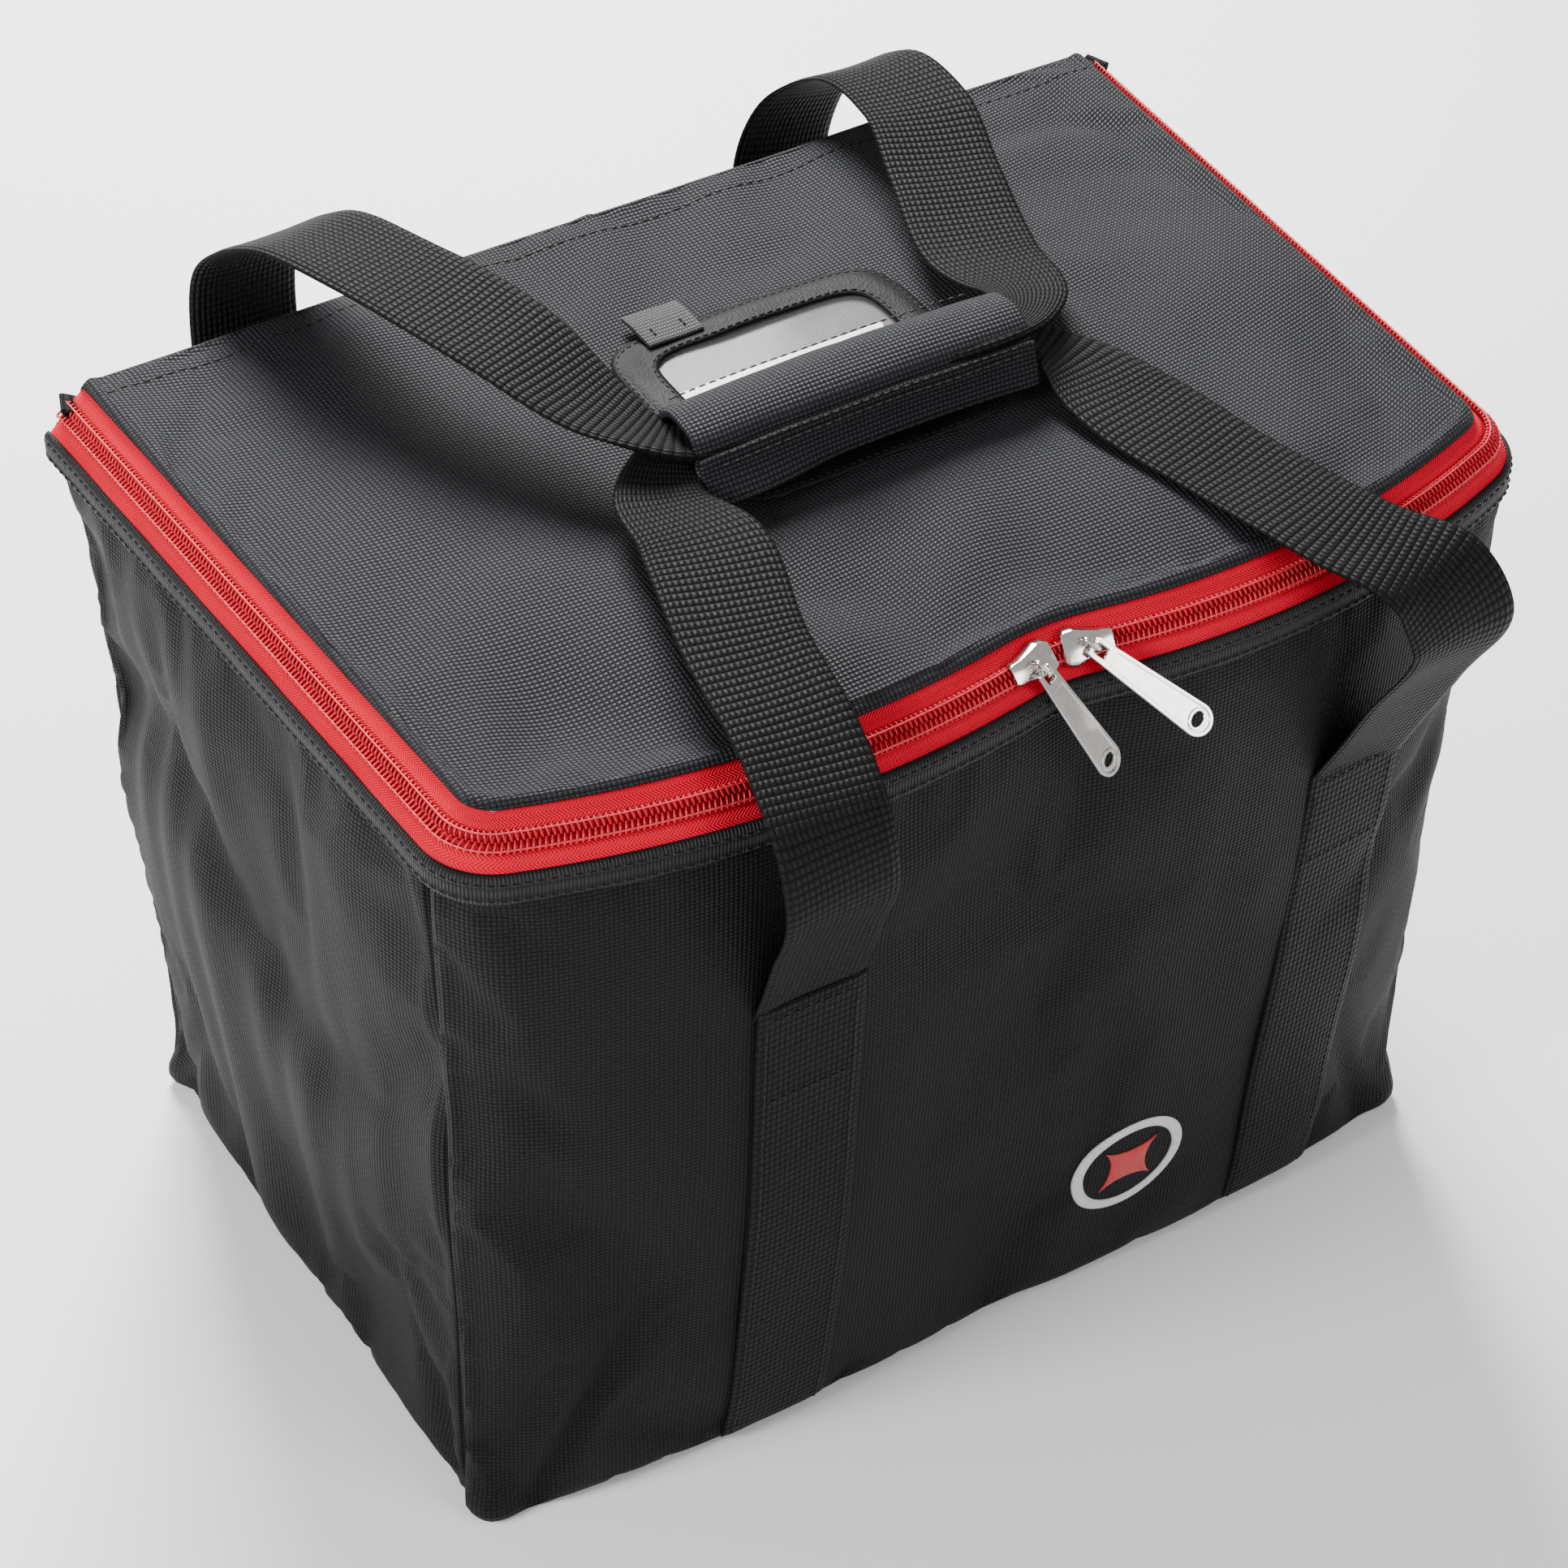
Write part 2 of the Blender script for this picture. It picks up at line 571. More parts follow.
# %% Pinched bottom corners
ear_wide, ear_high = 9 * MM, 17 * MM
fold_from, fold_wide, fold_high = 14 * MM, 6 * MM, 60 * MM
for side in (-1, 1):
    for corner_y, reach in ((base["corner_y"], 6.0), (back_y, 5.0)):
        corner = np.array((side * base["front_half"], corner_y))
        near = np.argmin(np.linalg.norm(foot - corner, axis=1))
        gap = np.abs(s_grid - around[near])
        gap = np.minimum(gap, around[-1] - gap)
        ear = np.exp(-(gap / ear_wide) ** 2) * np.exp(-(z_grid / ear_high) ** 2)
        fold = -np.exp(-((gap - (fold_from + 0.45 * z_grid)) / fold_wide) ** 2)
        fold *= np.exp(-(z_grid / fold_high) ** 2) * smooth(z_grid / (8 * MM))
        drift += reach * MM * ear + 3.0 * MM * fold
wall = raised(loft + outward * (drift - tuck)[..., None], z_grid)
wall[-1] = wall[0]
print("wall box", wall.reshape(-1, 3).min(0).round(3), wall.reshape(-1, 3).max(0).round(3))

# %% [markdown]
# ## Letting the cloth settle
# Swell and creases drawn by hand look too even. A short cloth simulation with the edges
# pinned and a little spare length lets each panel find its own folds. The result is read
# back into the grid and limited, so no point strays far from the shape that was drawn.


# %% Cloth simulation on a pinned grid
SETTLING_FRAMES = 20


def settle(piece, points, spare, pressure, cap, rim_rows=2):
    """Runs cloth on the piece with its border pinned, and returns the settled grid."""
    n, m = points.shape[:2]
    i, j = np.meshgrid(np.arange(n), np.arange(m), indexing="ij")
    border = np.minimum(np.minimum(i, n - 1 - i), np.minimum(j, m - 1 - j)).ravel()
    group = piece.vertex_groups.new(name="held")
    group.add([int(k) for k in np.flatnonzero(border < rim_rows)], 1.0, "REPLACE")
    cloth = piece.modifiers.new("cloth", "CLOTH")
    cloth.settings.vertex_group_mass = "held"
    cloth.settings.quality = 4
    cloth.settings.mass = 0.25
    cloth.settings.tension_stiffness = cloth.settings.compression_stiffness = 25
    cloth.settings.bending_stiffness = 2.5
    cloth.settings.shrink_min = -spare
    cloth.settings.use_pressure = True
    cloth.settings.uniform_pressure_force = pressure
    cloth.settings.effector_weights.gravity = 0
    scene = bpy.context.scene
    cloth.point_cache.frame_start, cloth.point_cache.frame_end = 1, SETTLING_FRAMES
    for step in range(1, SETTLING_FRAMES + 1):
        scene.frame_set(step)
    shape = piece.evaluated_get(bpy.context.evaluated_depsgraph_get())
    settled = np.zeros(n * m * 3, np.float32)
    shape.data.vertices.foreach_get("co", settled)
    piece.modifiers.remove(cloth)
    scene.frame_set(1)
    change = settled.reshape(n, m, 3) - points
    size = np.linalg.norm(change, axis=2, keepdims=True)
    change *= cap * np.tanh(size / cap) / np.maximum(size, 1e-9)
    settled = points + change
    piece.data.vertices.foreach_set("co", settled.astype(np.float32).ravel())
    piece.data.update()
    print(f"{piece.name} settled by up to {size.max() / MM:.1f} mm")
    return settled


# %% Four wall panels
panel_names = ("left_side_panel", "front_panel", "right_side_panel", "back_panel")
panel_spans = dict(zip(panel_names, zip(seams, seams[1:] + [count - 1])))
panel_grids = {}
for name, (first, last) in panel_spans.items():
    points = wall[first:last + 1]
    uv = np.stack([s_grid[first:last + 1], z_grid[first:last + 1]], axis=-1)
    piece = grid_piece(name.replace("panel", "cloth"), points, uv, wall_cloth)
    points = settle(piece, points, 0.012, 0.6, 3 * MM)
    wall[first:last + 1] = points
    panel_grids[name] = points
    thicken(piece, 1.6 * MM)
    place(piece, "bag", name, slot="ballistic_cloth", fill=0.5)
print("walls:", ", ".join(panel_grids))

# %% [markdown]
# ## Flat patches with a curved edge
# The base and the lid are single patches of cloth whose edge follows the plan. A Coons patch
# fills four edge curves smoothly, so its rows run with the cloth and bunch up near the edge,
# where the cloth turns.


# %% Patch helper
def along(curve, places):
    """Points at given shares of a curve's length."""
    length = run_length(curve)
    return read_rows(places * length[-1], length, curve)


def bunched(n, edge):
    """Shares from 0 to 1, closer together near both ends."""
    middle = np.linspace(0, 1, n)
    return middle - edge * np.sin(2 * pi * middle) / (2 * pi)


def patch(curve, n, m, edge=0.93):
    """Fills an open plan curve, closed by a straight back edge, with an n by m grid."""
    left_turn, right_turn = SIDE + ROUND // 2, len(curve) - 1 - SIDE - ROUND // 2
    u, v = bunched(n, edge), bunched(m, edge)
    front = along(curve[left_turn:right_turn + 1], u)
    left = along(curve[left_turn::-1], v)
    right = along(curve[right_turn:], v)
    back = along(np.stack([curve[0], curve[-1]]), u)
    a, b = u[:, None, None], v[None, :, None]
    return ((1 - b) * front[:, None] + b * back[:, None] + (1 - a) * left[None]
            + a * right[None] - (1 - a) * (1 - b) * front[0] - a * (1 - b) * front[-1]
            - (1 - a) * b * back[0] - a * b * back[-1])


def floor_patch(inset):
    """An even grid over the plan of the base, moved in by inset."""
    return patch(rim_curve(base, inset, back_y - inset), 40, 28, 0.3)


def edge_distance(points, curve):
    """How far each plan point is from the curve."""
    flat = points.reshape(-1, 2)
    start, step = curve[:-1], np.diff(curve, axis=0)
    share = np.clip(((flat[:, None] - start) * step).sum(2) / (step ** 2).sum(1), 0, 1)
    gap = np.linalg.norm(flat[:, None] - start - share[..., None] * step, axis=2)
    return gap.min(axis=1).reshape(points.shape[:2])


# %% Base cloth
under_plan = floor_patch(11 * MM)
base_points = raised(under_plan, np.full(under_plan.shape[:2], 0.6 * MM))[:, ::-1]
base_cloth = grid_piece("base_cloth", base_points, flat_map(base_points, 0, 1), wall_cloth,
                        1.4 * MM)
place(base_cloth, "bag", "bottom_panel", slot="ballistic_cloth", fill=0.4)
print("base cloth", base_points.shape[:2])

# %% [markdown]
# ## The lid
# The lid is softer than it looks: foam under a loose cloth that waves between the stiff zip
# and the pocket. Under the pocket it lies nearly flat so that the card can slide. At the back
# the same cloth turns down over the hinge, so the last rows leave the patch and follow the
# back wall.

# %% Lid heights
pocket_low, pocket_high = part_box("window_frame")
pocket_mid = ((pocket_low.x + pocket_high.x) / 2, (pocket_low.y + pocket_high.y) / 2)
pocket_half = ((pocket_high.x - pocket_low.x) / 2, (pocket_high.y - pocket_low.y) / 2)
LID_COLUMNS, LID_ROWS = 132, 92
lid_back = back_y - 2.2 * MM


def pocket_share(x, y, reach=26 * MM):
    """1 under the pocket, falling to 0 beyond it."""
    gap = np.hypot(np.maximum(np.abs(x - pocket_mid[0]) - pocket_half[0], 0),
                   np.maximum(np.abs(y - pocket_mid[1]) - pocket_half[1], 0))
    return 1 - smooth(gap / reach)


def lid_wave(x, y):
    """Height of the lid cloth against the lid's level, away from its edge."""
    broad = ripple((x + 0.3 * y) / 0.085, (y - 0.2 * x) / 0.12, 11)
    fine = ripple((x - 0.5 * y) / 0.035, (y + 0.4 * x) / 0.075, 12)
    tucks = ripple(x / 0.021, y / 0.09, 13) * np.exp(-(y - rim["corner_y"]) / (34 * MM))
    back = ripple(x / 0.040, y / 0.3, 14) * smooth((y - back_y + 60 * MM) / (60 * MM))
    loose = 7.5 * broad + 3.0 * fine + 3.0 * tucks + 3.4 * back + 0.6
    loose = np.where(loose < 0, 3.0 * np.tanh(loose / 3.0), loose)
    calm = pocket_share(x, y)
    return MM * ((1 - calm) * loose + calm * 0.35 * fine - 0.5 * calm)


lid_edge = rim_curve(rim, bevel_run - 0.6 * MM, lid_back)
plan = patch(lid_edge, LID_COLUMNS, LID_ROWS)
inner_gap = edge_distance(plan, lid_edge)
back_gap = lid_back - plan[..., 1]
swell_in = smooth(np.minimum(inner_gap, back_gap + 6 * MM) / (30 * MM))
lid_z = lid_under + 0.4 * MM + (lid_top - lid_under) * (1 - np.exp(-inner_gap / (1.3 * MM)))
lid_z = lid_z + 0.9 * MM * np.exp(-((inner_gap - 3 * MM) / (2.2 * MM)) ** 2)
lid_z += swell_in * lid_wave(plan[..., 0], plan[..., 1])
print(f"lid cloth from {lid_z.min():.4f} to {lid_z.max():.4f} m")

# %% Lid cloth with its fold at the back
lid_points = raised(plan, lid_z)
# How far back and down, in millimetres, each row of the fold lies from the lid's last row.
fold_steps = [(0.9, -0.3), (1.7, -1.2), (2.1, -2.6), (2.3, -5.0), (2.3, -9.0), (2.2, -13.5),
              (1.6, -15.2)]
fold_rows = np.stack([lid_points[:, -1] + np.array((0, dy, dz)) * MM
                      for dy, dz in fold_steps], axis=1)
fold_rows[..., 0] *= 1 + 0.004 * np.arange(len(fold_steps))[None] / len(fold_steps)
lid_points = np.concatenate([lid_points, fold_rows], axis=1)
lid_v = np.stack([run_length(column) for column in lid_points])
lid_piece = grid_piece("lid_cloth", lid_points,
                       np.stack([lid_points[..., 0], lid_v], axis=-1), lid_cloth)
lid_points = settle(lid_piece, lid_points, 0.006, 0.3, 1.5 * MM, rim_rows=10)
thicken(lid_piece, 1.4 * MM)
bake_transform(lid_piece)
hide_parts("lid_panel", "lid_hinge_strip")
print("lid grid", lid_points.shape[:2])

# %% [markdown]
# ## Inside
# The foam is closed in by a fine lining. The wall lining is the same ring of points moved in
# by the thickness of the wall, with a floor, and its top turns out over the foam to the
# binding. The lid's lining is a shallow tray that covers the lid's foam.

# %% Wall and lid linings
depth_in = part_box("inner_lining")[0].z
foam_top = wall_top - 7 * MM
LINING_ROWS = 30
# Below the binding and inset, in millimetres, of the rows that turn out over the foam.
turned_out = [(5.5, 8.4), (4.2, 6.5), (3.4, 3.2)]
lining_rows = np.concatenate([np.linspace(depth_in, foam_top, LINING_ROWS),
                              [wall_top - below * MM for below, _ in turned_out]])
lining_inset = np.concatenate([np.full(LINING_ROWS, 9.2), [i for _, i in turned_out]]) * MM
level = lining_rows / wall_top
shell = foot[:, None] * (1 - level[:, None]) + top[:, None] * level[:, None]
out = np.stack([read_rows(lining_rows, heights, column) for column in outward])
s_in, z_in = np.meshgrid(around, lining_rows, indexing="ij")
free = smooth((wall_top - z_in) / (20 * MM))
loose = ripple(s_in / 0.05, z_in / 0.09, 21) * 1.1 * MM * free
sunk = np.stack([np.interp(lining_rows, heights, row)
                 for row in ((wall[..., :2] - loft) * outward).sum(axis=2)])
sunk = np.clip(-sunk, 0, None) * free
shell = shell - out * (lining_inset[None] + np.abs(loose) + sunk)[..., None]
lining_points = raised(shell, z_in)[::-1]
wall_lining = grid_piece("wall_lining", lining_points,
                         np.stack([s_in[::-1], z_in[::-1]], axis=-1), lining_weave, 0.5 * MM)
place(wall_lining, "bag", "inner_lining", slot="lining_cloth")
floor_plan = floor_patch(9.0 * MM)
creased_floor = ripple(floor_plan[..., 0] / 0.05, floor_plan[..., 1] / 0.05, 22)
floor_points = raised(floor_plan, depth_in + 0.4 * MM * np.abs(creased_floor))
floor_lining = grid_piece("floor_lining", floor_points, flat_map(floor_points, 0, 1),
                          lining_weave, 0.5 * MM)
place(floor_lining, "bag", slot="lining_cloth")

tray_low, tray_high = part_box("lid_lining")
tray_line = rim_curve(rim, bevel_run + 2.2 * MM, tray_high.y)
tray_plan = patch(tray_line, 60, 44)
tray_gap = np.minimum(edge_distance(tray_plan, tray_line), tray_high.y - tray_plan[..., 1])
tray_wave = ripple(tray_plan[..., 0] / 0.05, tray_plan[..., 1] / 0.05, 23)
tray_z = tray_low.z + 6.2 * MM * np.exp(-(tray_gap / (0.45 * MM)) ** 2)
tray_z += 0.5 * MM * tray_wave * smooth(tray_gap / (20 * MM))
tray = raised(tray_plan, tray_z)[:, ::-1]
lid_lining = grid_piece("lid_lining_cloth", tray, flat_map(tray, 0, 1), lining_weave, 0.5 * MM)
place(lid_lining, "lid", "lid_lining", slot="lining_cloth")
print("linings:", wall_lining.name, floor_lining.name, lid_lining.name)

# %% Foam
for name, points in panel_grids.items():
    first, last = panel_spans[name]
    foam_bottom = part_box(name.replace("panel", "foam"))[0].z
    rows = (heights > foam_bottom) & (heights < foam_top)
    inside = points[:, rows].copy()
    inside[..., :2] -= outward[first:last + 1, rows] * 2.4 * MM
    foam_sheet = grid_piece(name.replace("panel", "foam_sheet"), inside, None, foam_grain,
                            4.6 * MM)
    place(foam_sheet, "bag", name.replace("panel", "foam"), slot="padding_foam", fill=0.8)
slab_plan = floor_patch(8.6 * MM)
slab_points = raised(slab_plan, np.full(slab_plan.shape[:2], 7.6 * MM))
slab = grid_piece("bottom_foam_sheet", slab_points, None, foam_grain, 5.2 * MM)
place(slab, "bag", "bottom_foam", slot="padding_foam", fill=0.8)
lid_inside = lid_points[4:-4, 6:LID_ROWS - 6].copy()
lid_inside[..., 2] -= 1.7 * MM
lid_slab = grid_piece("lid_foam_sheet", lid_inside, None, foam_grain, 3.2 * MM)
place(lid_slab, "lid", "lid_foam", slot="padding_foam", fill=0.8)
print("foam sheets behind the walls, in the base and in the lid")

# %% [markdown]
# ## The zip
# The zip lies on a band that leans back at 45 degrees between wall and lid. A point on it is
# found from the zip line by going up the lean and out of it. The two tapes are thin sheets,
# and each coil is one long spring of nylon wire sewn along its tape's edge.

# %% Places on the leaning band
band_line = rim_curve(rim, 0, back_y - 1.2 * MM)
band_run = run_length(band_line)
band_out = plan_normals(band_line)
up_lean = raised(-band_out, np.ones(len(band_line))) / sqrt(2)
out_lean = raised(band_out, np.ones(len(band_line))) / sqrt(2)
band_line = raised(band_line, np.full(len(band_line), rim_z))


def on_band(distance, up, out):
    """Points at distances along the zip line, up the band and out of it."""
    return (read_rows(distance, band_run, band_line)
            + read_rows(distance, band_run, up_lean) * np.asarray(up)[..., None]
            + read_rows(distance, band_run, out_lean) * np.asarray(out)[..., None])


print(f"zip line {band_run[-1]:.3f} m long")

# %% Tapes
band_half = bevel_run * sqrt(2)
tape_rows = np.linspace(0.35 * MM, band_half + 0.8 * MM, 12)
steps = np.linspace(0, band_run[-1], 420)
for name, sign, body in (("zipper_tape_lower", -1, "bag"), ("zipper_tape_upper", 1, "lid")):
    far, rise = np.meshgrid(steps, sign * tape_rows, indexing="ij")
    waves = ripple(far / 0.022, rise / 0.05, 31 + sign)
    from_coil = np.abs(rise) / MM
    height = (0.5 * waves - 0.2) * MM * smooth((from_coil - 3.6) / 3.0)
    height = height + 0.35 * MM * np.exp(-((from_coil - 4.9) / 0.7) ** 2)
    points = on_band(far, rise, height)
    uv = np.stack([far, rise], axis=-1)
    if sign < 0:
        points, uv = points[:, ::-1], uv[:, ::-1]
    tape = grid_piece(name.replace("zipper", "zip"), points, uv, red_tape, 0.7 * MM)
    place(tape, body, name, slot="zip_tape")
print("zip tapes", len(steps), "columns")


# %% Coils
def tube(path, radius, sides, frame_hint):
    """Points and faces of a tube round a path."""
    tangent = np.gradient(path, axis=0)
    tangent /= np.linalg.norm(tangent, axis=1)[:, None]
    side = np.cross(tangent, frame_hint)
    side /= np.linalg.norm(side, axis=1)[:, None]
    other = np.cross(side, tangent)
    angle = np.linspace(0, 2 * pi, sides, endpoint=False)
    radius = np.broadcast_to(np.asarray(radius, float), (len(path),))
    points = (path[:, None] + radius[:, None, None] * (
        side[:, None] * np.cos(angle)[None, :, None]
        + other[:, None] * np.sin(angle)[None, :, None]))
    i, j = np.meshgrid(np.arange(len(path) - 1), np.arange(sides), indexing="ij")
    a, b = (i * sides + j).ravel(), (i * sides + (j + 1) % sides).ravel()
    faces = np.stack([a, b, b + sides, a + sides], axis=1).tolist()
    last = (len(path) - 1) * sides
    faces += [list(range(sides))[::-1], [last + k for k in range(sides)]]
    return points.reshape(-1, 3), faces


pitch = 1.75 * MM
coil_half_wide, coil_half_high, wire_r = 1.62 * MM, 0.80 * MM, 0.42 * MM
turns = int(band_run[-1] / pitch)
for name, sign, body in (("zipper_coil_lower", -1, "bag"), ("zipper_coil_upper", 1, "lid")):
    angle = np.linspace(0, 2 * pi * turns, turns * 10)
    far = angle / (2 * pi) * pitch + (0.0 if sign < 0 else 0.5) * pitch
    rise = sign * coil_half_wide * (1 + np.cos(angle))
    height = 1.25 * MM + coil_half_high * np.sin(angle)
    path = on_band(np.clip(far, 0, band_run[-1]), rise, height)
    points, faces = tube(path, wire_r, 5, read_rows(far, band_run, out_lean))
    coil = add_piece(name.replace("zipper", "zip"), points, faces, None, red_coil)
    place(coil, body, name, slot="zip_coil")
    cord_far = np.linspace(0, band_run[-1], 900)
    seam = on_band(cord_far, sign * 2.5 * MM,
                   2.15 * MM + 0.1 * MM * np.sin(cord_far / pitch * pi))
    points, faces = tube(seam, 0.28 * MM, 5, read_rows(cord_far, band_run, out_lean))
    place(add_piece(name.replace("zipper_coil", "coil_stitch"), points, faces, None,
                    red_thread), body, slot="zip_coil")
print(f"coils of {turns} turns, {pitch / MM:.2f} mm apart")

# %% [markdown]
# ## Stitches
# Seen close, a seam is a row of short plump threads that dip into the cloth at both ends.
# Each is a small tapered tube. One mesh holds a whole row, so a long seam costs little.


# %% Rows of stitches
def stitches(name, path, up, body, step=3.6, length=2.7, radius=0.34, slot="binding_tape"):
    """A row of black stitches along a path, standing out along up; sizes in millimetres."""
    path, up = np.asarray(path, float), np.asarray(up, float)
    far = run_length(path)
    up = np.broadcast_to(up, path.shape)
    starts = np.arange(0.5 * step, far[-1] / MM - length, step) * MM
    rows = np.linspace(0, 1, 5)
    bulge = np.array([0.35, 0.85, 1.0, 0.85, 0.35])
    points, faces = [], []
    for start in starts:
        at = start + rows * length * MM
        high = read_rows(at, far, up)
        high /= np.linalg.norm(high, axis=1)[:, None]
        line = read_rows(at, far, path) + high * ((0.12 - 0.3 * (1 - bulge)) * MM)[:, None]
        ring_points, ring_faces = tube(line, radius * MM * bulge, 5, high)
        faces += [[k + len(points) * len(ring_points) for k in face] for face in ring_faces]
        points.append(ring_points)
    place(add_piece(name, np.concatenate(points), faces, None, black_thread), body, slot=slot)


# %% [markdown]
# ## The binding
# A ribbed tape is folded over the top edge of the walls and sewn through. It pulls the cloth
# in, so it stands a little proud and its lower edge wanders.

# %% Binding tape
binding_low, binding_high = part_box("rim_binding")
binding_height = binding_high.z - binding_low.z
wall_line = rim_curve(rim, -bevel_run, back_y - 0.5 * MM)
wall_run = run_length(wall_line)
wall_out = plan_normals(wall_line)
bind_s = np.linspace(0, wall_run[-1], 420)
# Across the tape: share of its height from the top, and how proud it stands, in millimetres.
bind_at = np.array([0, 0.4, 1.3, 3.0, 5.0, 7.0, 9.0, 10.6, 11.6]) / 11.6 * binding_height
bind_high = np.array([-0.2, 0.8, 1.5, 1.75, 1.6, 1.6, 1.75, 1.3, 0.2]) * MM
far, drop = np.meshgrid(bind_s, bind_at, indexing="ij")
wander = ripple(far / 0.018, drop / 0.05, 41)
plan_at = read_rows(far, wall_run, wall_line)
plan_way = read_rows(far, wall_run, wall_out)
proud = bind_high[None] + wander * 0.55 * MM * np.sin(pi * drop / binding_height)
low_edge = wander * 0.7 * MM * smooth(drop / binding_height)
binding_points = raised(plan_at + plan_way * proud[..., None],
                        wall_top + 0.5 * MM - drop + low_edge)
binding = grid_piece("rim_binding_tape", binding_points[:, ::-1],
                     np.stack([far, drop], axis=-1)[:, ::-1], edge_ribs, 0.7 * MM)
place(binding, "bag", "rim_binding", slot="binding_tape")
for row, at in (("binding_seam_low", 6), ("binding_seam_high", 3)):
    up = raised(plan_way[:, at], np.zeros(len(bind_s)))
    stitches(row, binding_points[:, at], up, "bag")
print(f"binding {wall_run[-1]:.3f} m long")

# %% [markdown]
# ## Webbing
# Webbing is thick, flat and ribbed. Where it is sewn down it follows the wall, so its points
# are read from the finished wall panels. A row of stitching runs up each edge, and two bars
# cross the webbing: one where it leaves the wall and one a webbing's width lower.

# %% Sewn webbing
webbing_half = 19 * MM
front_legs, rear_legs = (-84 * MM, 120 * MM), (-119 * MM, 85 * MM)
run_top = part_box("front_webbing_left")[1].z
BAR_DROPS = (("top", 2 * MM), ("low", 38 * MM))


def wall_depth(name, x, z):
    """Where the outside of the front or back wall lies, over arrays of x and z."""
    points = panel_grids[name]
    columns = points[np.argsort(points[:, WALL_ROWS // 2 + 2, 0])]
    by_row = np.stack([np.interp(x[:, 0], columns[:, k, 0], columns[:, k, 1])
                       for k in range(columns.shape[1])], axis=1)
    return np.stack([[np.interp(zz, heights, by_row[i]) for zz in z[i]]
                     for i in range(len(x))], axis=0)


for wall_name, side, legs, tag in (("front_panel", -1, front_legs, "front"),
                                   ("back_panel", 1, rear_legs, "rear")):
    for x_mid, hand in zip(legs, ("left", "right")):
        xs = np.linspace(-webbing_half, webbing_half, 13)
        zs = np.linspace(3.5 * MM, run_top + 3 * MM, 80)
        x, z = np.meshgrid(x_mid + xs, zs, indexing="ij")
        y = wall_depth(wall_name, x, z)
        y = (y + y.mean(axis=0, keepdims=True)) / 2
        edge = np.abs(x - x_mid) / webbing_half
        uneven = 0.25 * MM * ripple(x / 0.02, z / 0.03, 51)
        y += side * (1.5 * MM + 0.5 * MM * (1 - edge ** 6) + uneven)
        points = np.stack([x, y, z], axis=-1)
        uv = np.stack([x - x_mid, z], axis=-1)
        if side > 0:
            points, uv = points[::-1], uv[::-1]
        run_piece = grid_piece(f"{tag}_webbing_run_{hand}", points, uv, strap_weave, 1.6 * MM)
        place(run_piece, "bag", f"{tag}_webbing_{hand}", slot="webbing")
        up = np.array((0, side, 0))
        for k, label in ((1, "a"), (-2, "b")):
            stitches(f"{tag}_{hand}_edge_seam_{label}", points[k][:-3], up, "bag",
                     slot="webbing")
        for label, bar_drop in BAR_DROPS:
            row = np.argmin(np.abs(zs - (run_top - bar_drop)))
            stitches(f"{tag}_{hand}_bar_{label}", points[1:-1, row], up, "bag", slot="webbing")
print("sewn webbing up to", round(run_top, 4))

# %% [markdown]
# ## Free webbing
# From the top of the sewn run each leg bulges out, folds over the lid and twists to meet the
# grip. A smooth curve through a few stops gives its line; at every stop the direction of its
# width and how far it is folded are given too. It bends between the bag and the handle, so
# the leg stays sewn while the loop swings away.


# %% Ribbon helper
def smooth_through(stops, count):
    """Smooth curve through rows of numbers, whose first three are a place."""
    stops = np.asarray(stops, float)
    at = run_length(stops[:, :3])
    slope = np.gradient(stops, at, axis=0)
    s = np.linspace(0, at[-1], count)
    k = np.clip(np.searchsorted(at, s, side="right") - 1, 0, len(at) - 2)
    gap = (at[k + 1] - at[k])[:, None]
    f = (s - at[k])[:, None] / gap
    return ((2 * f ** 3 - 3 * f ** 2 + 1) * stops[k] + (f ** 3 - 2 * f ** 2 + f) * gap * slope[k]
            + (3 * f ** 2 - 2 * f ** 3) * stops[k + 1] + (f ** 3 - f ** 2) * gap * slope[k + 1])


def ribbon(name, stops, seed, count=240):
    """Webbing through stops of x, y, z, heading in degrees and width, in millimetres."""
    rows = smooth_through(stops, count)
    path, heading, width = rows[:, :3] * MM, np.radians(rows[:, 3]), rows[:, 4] * MM
    tangent = np.gradient(path, axis=0)
    tangent /= np.linalg.norm(tangent, axis=1)[:, None]
    wide = np.stack([np.cos(heading), np.sin(heading), 0 * heading], axis=1)
    wide -= (wide * tangent).sum(1)[:, None] * tangent
    wide /= np.linalg.norm(wide, axis=1)[:, None]
    face = np.cross(tangent, wide)
    shares = np.linspace(-1, 1, 13)
    rim_off = np.sqrt(np.clip(1 - np.abs(shares) ** 10, 0.02, 1))
    section = np.concatenate([np.stack([shares, rim_off], axis=1),
                              np.stack([shares, -rim_off], axis=1)[::-1]])
    section = np.vstack([section, section[:1]])
    half_thick = 1.9 * MM * (2 * webbing_half / width) * 0.5
    far = run_length(path)
    cupped = 0.9 + 0.8 * ripple(far / 0.06, 0 * far, seed)
    cup = (1 - section[:, 0] ** 2)[None] * cupped[:, None] * MM
    far_grid, across_grid = np.meshgrid(far, section[:, 0], indexing="ij")
    cup = cup + 0.35 * MM * ripple(far_grid / 0.02, across_grid, seed + 1)
    sideways = section[None, :, 0] * width[:, None] / 2
    outward_by = section[None, :, 1] * half_thick[:, None] + cup
    points = (path[:, None] + wide[:, None] * sideways[..., None]
              + face[:, None] * outward_by[..., None])
    uv = np.stack([across_grid * webbing_half, far_grid], axis=-1)
    faces = grid_faces(*points.shape[:2])
    last = (count - 1) * len(section)
    faces += [list(range(len(section) - 1)), [last + k for k in range(len(section) - 1)][::-1]]
    print(f"{name} {far[-1]:.3f} m of webbing")
    return add_piece(name, points, faces, uv, strap_weave)


